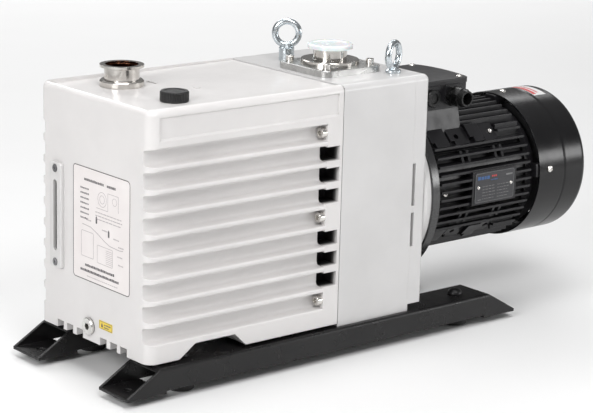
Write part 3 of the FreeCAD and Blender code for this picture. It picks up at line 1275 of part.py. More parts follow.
# ---------------------------------------------------------------- write every node
NODES = {
    "oil_casing": make_oil_casing,
    "casing_gasket": make_casing_gasket,
    "casing_screws": make_casing_screws,
    "sight_glass_bezel": make_sight_glass_bezel,
    "sight_glass_window": make_sight_glass_window,
    "sight_glass_screws": make_sight_glass_screws,
    "front_labels": make_front_labels,
    "drain_plug": make_drain_plug,
    "drain_plug_seal": make_drain_plug_seal,
    "exhaust_port": make_exhaust_port,
    "oil_filler_cap": make_oil_filler_cap,
    "oil_filler_seal": make_oil_filler_seal,
    "demister": make_demister,
    "centre_housing": make_centre_housing,
    "bell_housing": make_bell_housing,
    "housing_bolts": make_housing_bolts,
    "inlet_clamp_plate": make_inlet_clamp_plate,
    "inlet_port": make_inlet_port,
    "inlet_dust_cap": make_inlet_dust_cap,
    "inlet_plate_screws": make_inlet_plate_screws,
    "eye_bolt_front": make_eye_bolt_front,
    "eye_bolt_rear": make_eye_bolt_rear,
    "rail_far": make_rail_far,
    "rail_near": lambda: mirrored_y(make_rail_far()),
    "rubber_feet": make_rubber_feet,
    "foot_bolts": make_foot_bolts,
    "hv_stator": make_hv_stator,
    "lv_stator": make_lv_stator,
    "rear_end_plate": make_rear_end_plate,
    "middle_plate": make_middle_plate,
    "front_end_plate": make_front_end_plate,
    "hv_rotor": make_hv_rotor,
    "lv_rotor": make_lv_rotor,
    "hv_vane_a": lambda: make_vane(HV_X, REAR_PLATE_X, 1),
    "hv_vane_b": lambda: make_vane(HV_X, REAR_PLATE_X, -1),
    "lv_vane_a": lambda: make_vane(LV_X, MIDDLE_PLATE_X, 1),
    "lv_vane_b": lambda: make_vane(LV_X, MIDDLE_PLATE_X, -1),
    "exhaust_valve": make_exhaust_valve,
    "valve_guard": make_valve_guard,
    "shaft_seal": make_shaft_seal,
    "coupling_hub_pump": make_coupling_hub_pump,
    "coupling_hub_motor": make_coupling_hub_motor,
    "coupling_spider": make_coupling_spider,
    "motor_flange": make_motor_flange,
    "motor_frame": make_motor_frame,
    "motor_rear_shield": make_motor_rear_shield,
    "stator_core": make_stator_core,
    "stator_windings": make_stator_windings,
    "motor_bearings": make_bearing_outer_rings,
    "motor_shaft": make_motor_shaft,
    "rotor_core": make_rotor_core,
    "cooling_fan": make_cooling_fan,
    "fan_cowl": make_fan_cowl,
    "motor_cover_screws": make_motor_cover_screws,
    "terminal_box": make_terminal_box,
    "terminal_box_lid": make_terminal_box_lid,
    "cable_gland": make_cable_gland,
    "blanking_plug": make_blanking_plug,
    "terminal_block": make_terminal_block,
    "motor_nameplate": make_motor_nameplate,
}

for node_name, maker in NODES.items():
    save(node_name, maker())
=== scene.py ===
import json
import math
import random

import bmesh
import bpy
from mathutils import Matrix, Vector


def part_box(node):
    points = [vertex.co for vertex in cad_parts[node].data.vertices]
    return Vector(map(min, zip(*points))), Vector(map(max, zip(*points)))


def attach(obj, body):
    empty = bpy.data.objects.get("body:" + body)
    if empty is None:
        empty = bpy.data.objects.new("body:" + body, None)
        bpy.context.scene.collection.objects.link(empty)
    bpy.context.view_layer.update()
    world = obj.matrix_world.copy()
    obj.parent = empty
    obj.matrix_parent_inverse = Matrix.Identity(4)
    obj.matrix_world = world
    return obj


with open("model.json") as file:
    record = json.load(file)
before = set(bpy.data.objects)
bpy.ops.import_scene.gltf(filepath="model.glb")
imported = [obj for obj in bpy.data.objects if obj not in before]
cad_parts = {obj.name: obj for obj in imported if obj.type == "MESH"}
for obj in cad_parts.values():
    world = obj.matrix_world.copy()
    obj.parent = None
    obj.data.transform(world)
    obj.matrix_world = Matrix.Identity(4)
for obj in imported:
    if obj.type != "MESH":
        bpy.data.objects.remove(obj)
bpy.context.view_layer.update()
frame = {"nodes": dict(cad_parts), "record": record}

# Rotary vane vacuum pump: the camera first, then one function for each material, then the
# small pieces that the CAD model leaves out, then the floor and the lights. Metres throughout,
# but for printed sheets and turned profiles, which are drawn in millimetres.
MM = 0.001
random.seed(7)


# ---------------------------------------------------------------- camera
CAMERA_AZIMUTH = 39.98
CAMERA_ELEVATION = 14.24
CAMERA_ROLL = 1.507
CAMERA_DISTANCE = 2.7128
CAMERA_AIM = Vector((-0.0446, 0.0, 0.1703))
CAMERA_LENS = 126.16


def make_camera():
    azimuth = math.radians(CAMERA_AZIMUTH)
    elevation = math.radians(CAMERA_ELEVATION)
    roll = math.radians(CAMERA_ROLL)
    forward = Vector((math.sin(azimuth) * math.cos(elevation),
                      math.cos(azimuth) * math.cos(elevation),
                      -math.sin(elevation)))
    level_right = Vector((math.cos(azimuth), -math.sin(azimuth), 0.0))
    level_up = level_right.cross(forward)
    right = level_right * math.cos(roll) + level_up * math.sin(roll)
    up = right.cross(forward)
    data = bpy.data.cameras.new("camera")
    data.lens = CAMERA_LENS
    data.sensor_width = 36.0
    data.clip_start = 0.05
    data.clip_end = 50.0
    camera = bpy.data.objects.new("camera", data)
    bpy.context.collection.objects.link(camera)
    turn = Matrix((right, up, -forward)).transposed().to_4x4()
    camera.matrix_world = Matrix.Translation(CAMERA_AIM - forward * CAMERA_DISTANCE) @ turn
    bpy.context.scene.camera = camera


make_camera()


# ---------------------------------------------------------------- material building blocks
class Paint:
    """A Principled material with short helpers for procedural nodes in object space."""

    def __init__(self, name, roughness=0.5, metallic=0.0, **sockets):
        self.material = bpy.data.materials.new(name)
        self.material.use_nodes = True
        self.nodes = self.material.node_tree.nodes
        self.links = self.material.node_tree.links
        self.shader = self.nodes["Principled BSDF"]
        self.shader.inputs["Roughness"].default_value = roughness
        self.shader.inputs["Metallic"].default_value = metallic
        for socket, value in sockets.items():
            self.shader.inputs[socket.replace("_", " ")].default_value = value
        self.place = self.nodes.new("ShaderNodeTexCoord").outputs["Object"]

    def stretched(self, scale):
        """Object coordinates scaled unevenly, for grain that runs one way."""
        node = self.nodes.new("ShaderNodeMapping")
        node.inputs["Scale"].default_value = scale
        self.links.new(self.place, node.inputs["Vector"])
        return node.outputs["Vector"]

    def noise(self, scale, detail=3.0, roughness=0.55, place=None):
        node = self.nodes.new("ShaderNodeTexNoise")
        node.inputs["Scale"].default_value = scale
        node.inputs["Detail"].default_value = detail
        node.inputs["Roughness"].default_value = roughness
        self.links.new(place or self.place, node.inputs["Vector"])
        return node.outputs["Fac"]

    def cells(self, scale):
        node = self.nodes.new("ShaderNodeTexVoronoi")
        node.inputs["Scale"].default_value = scale
        self.links.new(self.place, node.inputs["Vector"])
        return node.outputs["Distance"]

    def ramp(self, factor, low, high, low_at=0.0, high_at=1.0):
        """A colour or grey ramp between two values."""
        node = self.nodes.new("ShaderNodeValToRGB")
        ends = node.color_ramp.elements
        for end, position, value in ((ends[0], low_at, low), (ends[1], high_at, high)):
            end.position = position
            end.color = (*value, 1.0) if isinstance(value, tuple) else (value, value, value, 1.0)
        self.links.new(factor, node.inputs["Fac"])
        return node.outputs["Color"]

    def split(self, place):
        """The X, Y and Z outputs of a position."""
        node = self.nodes.new("ShaderNodeSeparateXYZ")
        self.links.new(place, node.inputs["Vector"])
        return node.outputs["X"], node.outputs["Y"], node.outputs["Z"]

    def math(self, operation, a, b):
        """One maths node; each side is a number or another node's output."""
        node = self.nodes.new("ShaderNodeMath")
        node.operation = operation
        for socket, value in ((node.inputs[0], a), (node.inputs[1], b)):
            if isinstance(value, (int, float)):
                socket.default_value = value
            else:
                self.links.new(value, socket)
        return node.outputs["Value"]

    def mix(self, factor, a, b):
        """Colour a where the factor is 0, colour b where it is 1."""
        node = self.nodes.new("ShaderNodeMix")
        node.data_type = "RGBA"
        self.links.new(factor, node.inputs["Factor"])
        for socket, value in ((node.inputs["A"], a), (node.inputs["B"], b)):
            if isinstance(value, tuple):
                socket.default_value = (*value, 1.0)
            else:
                self.links.new(value, socket)
        return node.outputs["Result"]

    def edges(self, radius, width=0.12):
        """1 near the piece's edges, 0 on its faces: where the rounded normal leaves the true one."""
        rounded = self.nodes.new("ShaderNodeBevel")
        rounded.samples = 4
        rounded.inputs["Radius"].default_value = radius
        true = self.nodes.new("ShaderNodeNewGeometry").outputs["Normal"]
        dot = self.nodes.new("ShaderNodeVectorMath")
        dot.operation = "DOT_PRODUCT"
        self.links.new(rounded.outputs["Normal"], dot.inputs[0])
        self.links.new(true, dot.inputs[1])
        return self.ramp(dot.outputs["Value"], 1.0, 0.0, 1.0 - width, 1.0)

    def color(self, value):
        self.links.new(value, self.shader.inputs["Base Color"])
        return self

    def rough(self, value):
        self.links.new(value, self.shader.inputs["Roughness"])
        return self

    def bump(self, height, depth, round_edges=0.0):
        """Relief of a real depth in metres, over softly rounded edges."""
        node = self.nodes.new("ShaderNodeBump")
        node.inputs["Strength"].default_value = 1.0
        node.inputs["Distance"].default_value = depth
        self.links.new(height, node.inputs["Height"])
        if round_edges:
            rounded = self.nodes.new("ShaderNodeBevel")
            rounded.samples = 4
            rounded.inputs["Radius"].default_value = round_edges
            self.links.new(rounded.outputs["Normal"], node.inputs["Normal"])
        self.links.new(node.outputs["Normal"], self.shader.inputs["Normal"])
        return self


EDGE_LIFT = 1.06
# Near-black painted shade for the shadow deep inside the casing's rear pockets.
PAINTED_POCKET_SHADE = (0.012, 0.011, 0.011)


def enamel(name, low, high, painted_shade=None):
    """Gloss enamel on a casting: orange peel, faint tone changes, edges slightly paler where rubbed, and
    near-black painted shade where a shade mask is given.
    """
    paint = Paint(name, Coat_Weight=0.35, Coat_Roughness=0.10)
    tone = paint.ramp(paint.noise(9.0, 4.0), low, high, 0.35, 0.65)
    worn = paint.mix(paint.edges(1.6 * MM), tone, tuple(min(1.0, c * EDGE_LIFT) for c in high))
    # Where a shade mask is given, painted shade turns the colour near-black there.
    paint.color(paint.mix(painted_shade(paint), worn, PAINTED_POCKET_SHADE) if painted_shade else worn)
    paint.rough(paint.ramp(paint.noise(60.0, 5.0), 0.30, 0.44, 0.3, 0.7))
    return paint.bump(paint.noise(420.0, 2.0), 0.03 * MM, round_edges=1.2 * MM)


# The casing's rear pockets, where the paint carries near-black painted shade: their extent along X, the
# half-width where the painted shade sets in, the height of the top row, and the rows, counted in groove
# pitches from there down. Every fourth row holds a screw.
CASING_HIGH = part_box("oil_casing")[1]
POCKET_X = (CASING_HIGH.x - 25.2 * MM, CASING_HIGH.x - 3.7 * MM)
POCKET_SHADE = (108.5 * MM, 115.0 * MM)
POCKET_ROW_Z = CASING_HIGH.z - 56.95 * MM
GROOVE_PITCH = 27.0 * MM
ABOVE_TOP_ROW = 0.52
BELOW_LAST_ROW = 8.52
CLEAR_OF_SCREW = 0.55
SCREW_EVERY = 4


def painted_pocket_shade_mask(paint):
    """1 inside the casing's rear pockets, where near-black painted shade stands for the shadow deep in them,
    and 0 elsewhere.
    """
    x, y, z = paint.split(paint.place)
    behind = paint.math("MULTIPLY", paint.math("GREATER_THAN", x, POCKET_X[0]),
                        paint.math("LESS_THAN", x, POCKET_X[1]))
    deep = paint.ramp(paint.math("ABSOLUTE", y, 0.0), 1.0, 0.0, *POCKET_SHADE)
    below = paint.math("LESS_THAN", z, POCKET_ROW_Z + GROOVE_PITCH * ABOVE_TOP_ROW)
    above = paint.math("GREATER_THAN", z, POCKET_ROW_Z - GROOVE_PITCH * BELOW_LAST_ROW)
    from_screw_row = paint.math("PINGPONG", paint.math("SUBTRACT", z, POCKET_ROW_Z),
                                GROOVE_PITCH * SCREW_EVERY / 2)
    clear = paint.math("GREATER_THAN", from_screw_row, GROOVE_PITCH * CLEAR_OF_SCREW)
    rows = paint.math("MULTIPLY", clear, paint.math("MULTIPLY", below, above))
    return paint.math("MULTIPLY", rows, paint.math("MULTIPLY", behind, deep))


def casing_paint():
    return enamel("casing_paint", (0.640, 0.623, 0.617), (0.685, 0.667, 0.660), painted_shade=painted_pocket_shade_mask)


def housing_paint():
    return enamel("housing_paint", (0.560, 0.553, 0.551), (0.605, 0.597, 0.595))


def bezel_paint():
    return enamel("bezel_paint", (0.57, 0.56, 0.555), (0.63, 0.62, 0.615))


def black_enamel(name, low, high, rough_low, rough_high, peel_scale, peel_depth, edge_tone, gloss=0.35,
                 rounding=0.9 * MM):
    """Black paint with a soft sheen: fine texture, scuffed edges, tone and sheen in patches."""
    paint = Paint(name, Specular_IOR_Level=gloss)
    tone = paint.ramp(paint.noise(14.0, 5.0), low, high, 0.35, 0.7)
    patches = paint.ramp(paint.noise(90.0, 4.0), 0.0, 1.0, 0.4, 0.65)
    scuffs = paint.math("MULTIPLY", paint.edges(1.0 * MM), patches)
    paint.color(paint.mix(scuffs, tone, edge_tone))
    paint.rough(paint.ramp(paint.noise(45.0, 5.0), rough_low, rough_high, 0.3, 0.7))
    return paint.bump(paint.noise(peel_scale, 3.0), peel_depth, round_edges=rounding)


def motor_paint():
    return black_enamel("motor_paint", (0.0080, 0.0076, 0.0088), (0.0120, 0.0116, 0.0132), 0.28, 0.40,
                        600.0, 0.00004, (0.030, 0.030, 0.032))


def flange_paint():
    """The motor flange's smoother, glossier black."""
    return black_enamel("flange_paint", (0.0090, 0.0088, 0.0095), (0.0140, 0.0138, 0.0150), 0.20, 0.30,
                        900.0, 0.00001, (0.030, 0.030, 0.032), 0.85)


def cowl_paint():
    return black_enamel("cowl_paint", (0.0035, 0.0033, 0.0038), (0.0055, 0.0053, 0.0060), 0.20, 0.27,
                        1400.0, 0.000002, (0.018, 0.018, 0.020), 0.34)


def rail_paint():
    return black_enamel("rail_paint", (0.0060, 0.0056, 0.0058), (0.0095, 0.0090, 0.0094), 0.24, 0.36,
                        750.0, 0.00002, (0.035, 0.035, 0.037), rounding=2.2 * MM)


def inside_bore(paint, x, y, radius):
    """1 within a radius of the upright axis at x, y, and 0 outside it."""
    away = paint.nodes.new("ShaderNodeVectorMath")
    away.operation = "SUBTRACT"
    paint.links.new(paint.place, away.inputs[0])
    away.inputs[1].default_value = (x, y, 0.0)
    across, along, up = paint.split(away.outputs["Vector"])
    squares = paint.math("ADD", paint.math("POWER", across, 2.0), paint.math("POWER", along, 2.0))
    return paint.math("LESS_THAN", squares, radius * radius)


def turned_metal(name, low, high, rough_low, rough_high, along=(60.0, 60.0, 2500.0), stain=None):
    """Bright metal with fine tool marks across one axis, smudges and small scratches."""
    paint = Paint(name, metallic=1.0)
    marks = paint.noise(1.0, 2.0, 0.5, paint.stretched(along))
    smudge = paint.noise(70.0, 4.0)
    tone = paint.ramp(smudge, low, high, 0.3, 0.7)
    if stain:
        brown = paint.ramp(smudge, (0.16, 0.060, 0.030), (0.42, 0.20, 0.12), 0.3, 0.7)
        tone = paint.mix(inside_bore(paint, *stain), tone, brown)
    paint.color(tone)
    scratches = paint.math("MULTIPLY", marks, paint.noise(180.0, 3.0))
    paint.rough(paint.ramp(scratches, rough_low, rough_high, 0.1, 0.5))
    return paint.bump(marks, 0.000012, round_edges=0.4 * MM)


def nickel_screw():
    return turned_metal("nickel_screw", (0.62, 0.60, 0.57), (0.78, 0.76, 0.73), 0.14, 0.30)


def dull_screw():
    """The sight glass's two screws, darker than the rest."""
    return turned_metal("dull_screw", (0.16, 0.16, 0.165), (0.30, 0.30, 0.305), 0.22, 0.38)


def drain_steel():
    return turned_metal("drain_steel", (0.55, 0.54, 0.52), (0.72, 0.71, 0.69), 0.18, 0.34,
                        (2500.0, 60.0, 60.0))


STAIN_RADIUS = 20.7 * MM


def stainless():
    """Turned stainless; inside the exhaust port the oil mist has left a brown stain."""
    low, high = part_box("exhaust_port")
    centre = (low + high) / 2
    return turned_metal("stainless", (0.60, 0.575, 0.54), (0.74, 0.715, 0.68), 0.10, 0.26,
                        stain=(centre.x, centre.y, STAIN_RADIUS))


def brushed_plate():
    return turned_metal("brushed_plate", (0.50, 0.50, 0.49), (0.62, 0.62, 0.61), 0.24, 0.40,
                        (25.0, 2200.0, 25.0))


def zinc_steel():
    return turned_metal("zinc_steel", (0.52, 0.57, 0.60), (0.68, 0.73, 0.76), 0.18, 0.34,
                        (300.0, 300.0, 300.0))


def machined_steel():
    return turned_metal("machined_steel", (0.45, 0.45, 0.46), (0.60, 0.60, 0.61), 0.2, 0.4,
                        (1800.0, 40.0, 40.0))


def spring_steel():
    return turned_metal("spring_steel", (0.40, 0.41, 0.43), (0.55, 0.56, 0.58), 0.2, 0.38,
                        (40.0, 2000.0, 40.0))


def hub_metal():
    return turned_metal("hub_metal", (0.55, 0.55, 0.57), (0.66, 0.66, 0.68), 0.25, 0.45,
                        (1800.0, 50.0, 50.0))


def black_bolt():
    """Black oxide: dark, oily, and worn through to the metal on the corners."""
    paint = Paint("black_bolt", metallic=0.6)
    tone = paint.ramp(paint.noise(240.0, 4.0), (0.012, 0.012, 0.013), (0.030, 0.029, 0.030), 0.35, 0.7)
    paint.color(paint.mix(paint.edges(0.6 * MM), tone, (0.10, 0.10, 0.105)))
    paint.rough(paint.ramp(paint.noise(500.0, 3.0), 0.28, 0.5, 0.3, 0.7))
    return paint.bump(paint.noise(1500.0, 2.0), 0.00003, round_edges=0.5 * MM)


def moulded(name, low, high, rough_low, rough_high, grain_scale, grain_depth, **sockets):
    """Moulded plastic or rubber with a fine spark-eroded grain."""
    paint = Paint(name, **sockets)
    paint.color(paint.ramp(paint.noise(40.0, 4.0), low, high, 0.3, 0.7))
    paint.rough(paint.ramp(paint.noise(160.0, 4.0), rough_low, rough_high, 0.3, 0.7))
    return paint.bump(paint.cells(grain_scale), grain_depth, round_edges=0.5 * MM)


def black_plastic():
    return moulded("black_plastic", (0.010, 0.010, 0.010), (0.020, 0.020, 0.021), 0.30, 0.48, 1800.0, 0.00004)


# A darker copy of black_plastic: painted shade for the cable gland and blanking plug, which sit in shadow.
def shaded_gland_plastic():
    return moulded("shaded_gland_plastic", (0.004, 0.004, 0.004), (0.009, 0.009, 0.009), 0.22, 0.36, 2600.0, 0.00002,
                   Specular_IOR_Level=0.3)


def rubber():
    return moulded("rubber", (0.008, 0.008, 0.008), (0.022, 0.021, 0.020), 0.62, 0.85, 1400.0, 0.00006)


def gasket():
    return moulded("gasket", (0.040, 0.040, 0.042), (0.085, 0.084, 0.083), 0.6, 0.8, 2200.0, 0.00003)


def seal_ring():
    return moulded("seal_ring", (0.010, 0.010, 0.010), (0.025, 0.025, 0.025), 0.45, 0.65, 2600.0, 0.00002)


def spider_elastomer():
    return moulded("spider_elastomer", (0.42, 0.06, 0.03), (0.55, 0.10, 0.05), 0.4, 0.6, 1500.0, 0.00003)


def fan_plastic():
    return moulded("fan_plastic", (0.020, 0.020, 0.021), (0.040, 0.040, 0.042), 0.4, 0.6, 1600.0, 0.00004)


def terminal_board():
    return moulded("terminal_board", (0.07, 0.035, 0.02), (0.12, 0.06, 0.035), 0.35, 0.55, 900.0, 0.00003)


def vane_composite():
    return moulded("vane_composite", (0.14, 0.085, 0.045), (0.24, 0.15, 0.08), 0.45, 0.65, 3000.0, 0.00003)


def filter_medium():
    return moulded("filter_medium", (0.62, 0.58, 0.48), (0.78, 0.75, 0.66), 0.8, 0.95, 700.0, 0.0003)


def dust_cap_plastic():
    return moulded("dust_cap_plastic", (0.78, 0.78, 0.79), (0.84, 0.84, 0.85), 0.18, 0.30, 240.0, 0.000008,
                   Subsurface_Weight=0.30, Subsurface_Scale=0.008)


def grey_iron():
    """Machined grey iron: fine turned marks, graphite specks, a film of oil."""
    paint = Paint("grey_iron", metallic=0.85)
    specks = paint.ramp(paint.cells(900.0), 0.0, 1.0, 0.05, 0.25)
    tone = paint.ramp(paint.noise(50.0), (0.26, 0.26, 0.26), (0.36, 0.36, 0.35))
    paint.color(paint.mix(specks, (0.10, 0.10, 0.10), tone))
    paint.rough(paint.ramp(paint.noise(120.0, 4.0), 0.3, 0.55, 0.3, 0.7))
    marks = paint.noise(1.0, 2.0, 0.5, paint.stretched((60.0, 60.0, 1500.0)))
    return paint.bump(marks, 0.00002, round_edges=0.5 * MM)


SHEETS_SCALE = 314.0


def laminations():
    """Stacked sheet steel, half a millimetre a sheet, seen edge on."""
    paint = Paint("laminations", metallic=0.7)
    wave = paint.nodes.new("ShaderNodeTexWave")
    wave.inputs["Scale"].default_value = SHEETS_SCALE
    wave.inputs["Distortion"].default_value = 0.3
    paint.links.new(paint.place, wave.inputs["Vector"])
    paint.color(paint.ramp(wave.outputs["Fac"], (0.09, 0.09, 0.10), (0.26, 0.26, 0.27), 0.2, 0.8))
    paint.rough(paint.ramp(paint.noise(150.0), 0.4, 0.6))
    return paint.bump(wave.outputs["Fac"], 0.00008)


def copper():
    """Varnished copper wire, wound round the shaft line."""
    paint = Paint("copper", metallic=0.8, Coat_Weight=0.4)
    strands = paint.noise(1.0, 2.0, 0.5, paint.stretched((1400.0, 1400.0, 160.0)))
    paint.color(paint.ramp(strands, (0.36, 0.12, 0.04), (0.72, 0.32, 0.14), 0.3, 0.7))
    paint.rough(paint.ramp(paint.noise(200.0), 0.25, 0.45))
    return paint.bump(strands, 0.0004)


MARKER_BELOW = 90.0 * MM


def label_foil():
    """Printed foil: pale pinkish white and faintly creased; the low drain marker is yellow."""
    paint = Paint("label_foil", Coat_Weight=0.3, Coat_Roughness=0.2)
    foil = paint.ramp(paint.noise(25.0, 4.0), (0.74, 0.695, 0.685), (0.78, 0.74, 0.73), 0.35, 0.65)
    marker = paint.ramp(paint.noise(90.0, 4.0), (0.72, 0.52, 0.03), (0.80, 0.60, 0.05), 0.35, 0.65)
    height = paint.split(paint.place)[2]
    paint.color(paint.mix(paint.math("LESS_THAN", height, MARKER_BELOW), foil, marker))
    paint.rough(paint.ramp(paint.noise(80.0, 4.0), 0.32, 0.46, 0.3, 0.7))
    return paint.bump(paint.noise(55.0, 3.0), 0.00008)


def nameplate_foil():
    """Dark anodised plate with a fine brushed grain."""
    paint = Paint("nameplate_foil", metallic=0.7)
    grain = paint.noise(1.0, 2.0, 0.5, paint.stretched((40.0, 40.0, 2500.0)))
    paint.color(paint.ramp(grain, (0.045, 0.045, 0.048), (0.070, 0.070, 0.074), 0.3, 0.7))
    paint.rough(paint.ramp(paint.noise(130.0), 0.32, 0.5))
    return paint.bump(grain, 0.00001, round_edges=0.3 * MM)


def sight_glass():
    """Glass with dark oil close behind it."""
    paint = Paint("sight_glass", roughness=0.05, IOR=1.47, Coat_Weight=0.6, Coat_Roughness=0.03)
    paint.color(paint.ramp(paint.noise(60.0), (0.012, 0.014, 0.012), (0.030, 0.032, 0.026)))
    paint.rough(paint.ramp(paint.noise(220.0, 4.0), 0.03, 0.16, 0.4, 0.75))
    return paint.bump(paint.noise(300.0), 0.00001)


def ink(name, low, high):
    """Screen-printed ink: thin, uneven and slightly rough."""
    paint = Paint(name)
    paint.color(paint.ramp(paint.noise(900.0, 4.0), low, high, 0.35, 0.7))
    paint.rough(paint.ramp(paint.noise(400.0, 4.0), 0.35, 0.6, 0.3, 0.7))
    return paint.bump(paint.noise(1500.0), 0.00001)


def grey_ink():
    return ink("grey_ink", (0.060, 0.055, 0.060), (0.120, 0.110, 0.115))


def faint_ink():
    return ink("faint_ink", (0.34, 0.31, 0.32), (0.46, 0.42, 0.43))


def dim_ink():
    return ink("dim_ink", (0.12, 0.12, 0.12), (0.20, 0.20, 0.20))


def blue_ink():
    return ink("blue_ink", (0.020, 0.070, 0.20), (0.035, 0.110, 0.28))


def red_ink():
    return ink("red_ink", (0.42, 0.030, 0.035), (0.56, 0.060, 0.060))


def white_ink():
    return ink("white_ink", (0.55, 0.55, 0.55), (0.70, 0.70, 0.69))


def yellow_ink():
    return ink("yellow_ink", (0.70, 0.55, 0.02), (0.80, 0.66, 0.05))


# Every material slot that the record names, and the variants that a few nodes take instead.
MAKERS = (casing_paint, housing_paint, bezel_paint, motor_paint, flange_paint, cowl_paint, rail_paint,
          nickel_screw, dull_screw, drain_steel, stainless, brushed_plate, zinc_steel, machined_steel,
          spring_steel, hub_metal, black_bolt, black_plastic, shaded_gland_plastic, rubber, gasket, seal_ring,
          spider_elastomer, fan_plastic, terminal_board, vane_composite, filter_medium, dust_cap_plastic,
          grey_iron, laminations, copper, label_foil, nameplate_foil, sight_glass,
          grey_ink, faint_ink, dim_ink, blue_ink, red_ink, white_ink, yellow_ink)
VARIANTS = {"centre_housing": "housing_paint", "bell_housing": "housing_paint",
            "motor_flange": "flange_paint", "sight_glass_screws": "dull_screw",
            "cable_gland": "shaded_gland_plastic", "blanking_plug": "shaded_gland_plastic"}
MATERIALS = {maker.__name__: maker().material for maker in MAKERS}


def dress_cad_nodes():
    """Every CAD node takes the material that the record names for it, or its variant."""
    for part in frame["record"]["subparts"]:
        node = frame["nodes"][part["node"]]
        node.data.materials.clear()
        material = VARIANTS.get(part["node"], part["material_slot"])
        node.data.materials.append(MATERIALS[material])


dress_cad_nodes()


# ---------------------------------------------------------------- small pieces the CAD leaves out
def new_piece(name, bm, material, body="pump_body", smooth=True):
    """Turns a bmesh into a visible piece that rides on a body."""
    mesh = bpy.data.meshes.new(name)
    bmesh.ops.recalc_face_normals(bm, faces=bm.faces)
    bm.to_mesh(mesh)
    bm.free()
    for polygon in mesh.polygons:
        polygon.use_smooth = smooth
    mesh.materials.append(MATERIALS[material])
    piece = bpy.data.objects.new(name, mesh)
    bpy.context.collection.objects.link(piece)
    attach(piece, body)
    return piece


class Sheet:
    """Flat print on a plane: polygons in millimetres, right and up from one corner."""

    def __init__(self, corner, right, up, thickness=0.06):
        self.corner = Vector(corner)
        self.right = Vector(right)
        self.up = Vector(up)
        self.lift = self.right.cross(self.up) * thickness * MM
        self.bm = bmesh.new()

    def polygon(self, points):
        low = [self.bm.verts.new(self.corner + (self.right * u + self.up * v) * MM) for u, v in points]
        top = [self.bm.verts.new(vert.co + self.lift) for vert in low]
        self.bm.faces.new(top)
        count = len(points)
        for i in range(count):
            self.bm.faces.new((low[i], low[(i + 1) % count], top[(i + 1) % count], top[i]))

    def bar(self, u0, v0, u1, v1):
        self.polygon([(u0, v0), (u1, v0), (u1, v1), (u0, v1)])

    def words(self, u0, v0, u1, height, gap=0.9, shortest=1.2, longest=3.4):
        """A row of short blocks that stands for a line of small print."""
        u = u0
        while u < u1 - shortest:
            end = min(u1, u + random.uniform(shortest, longest))
            self.bar(u, v0, end, v0 + height * random.uniform(0.8, 1.0))
            u = end + gap

    def stroke(self, points, width):
        """A line of even width through the points."""
        for (u0, v0), (u1, v1) in zip(points, points[1:]):
            length = math.hypot(u1 - u0, v1 - v0)
            du = -(v1 - v0) / length * width / 2
            dv = (u1 - u0) / length * width / 2
            self.polygon([(u0 + du, v0 + dv), (u0 - du, v0 - dv), (u1 - du, v1 - dv), (u1 + du, v1 + dv)])

    def frame(self, u0, v0, u1, v1, radius, width):
        """A rounded rectangle outline."""
        corners = [(u1 - radius, v1 - radius, 0), (u0 + radius, v1 - radius, 90),
                   (u0 + radius, v0 + radius, 180), (u1 - radius, v0 + radius, 270)]
        loop = []
        for cu, cv, start in corners:
            for step in range(5):
                angle = math.radians(start + 22.5 * step)
                loop.append((cu + radius * math.cos(angle), cv + radius * math.sin(angle)))
        self.stroke(loop + loop[:1], width)

    def ring(self, u, v, radius, width, sides=24):
        angles = [2 * math.pi * i / sides for i in range(sides + 1)]
        self.stroke([(u + radius * math.cos(angle), v + radius * math.sin(angle)) for angle in angles], width)

    def finish(self, name, material):
        return new_piece(name, self.bm, material, smooth=False)


def turned_piece(name, profile, place, axis, material, sides=32):
    """A small turned piece: the profile is (radius, height) in millimetres, up along the axis."""
    bm = bmesh.new()
    rings = []
    for radius, height in profile:
        ring = []
        for i in range(sides if radius > 0 else 1):
            angle = 2 * math.pi * i / sides
            point = Vector((radius * math.cos(angle), radius * math.sin(angle), height))
            ring.append(bm.verts.new(point * MM))
        rings.append(ring)
    for low, high in zip(rings, rings[1:]):
        for i in range(sides):
            j = (i + 1) % sides
            corners = [low[i % len(low)], low[j % len(low)], high[j % len(high)], high[i % len(high)]]
            bm.faces.new(list(dict.fromkeys(corners)))
    turn = Vector(axis).to_track_quat("Z", "Y").to_matrix().to_4x4()
    bmesh.ops.transform(bm, matrix=Matrix.Translation(Vector(place)) @ turn, verts=bm.verts)
    return new_piece(name, bm, material)


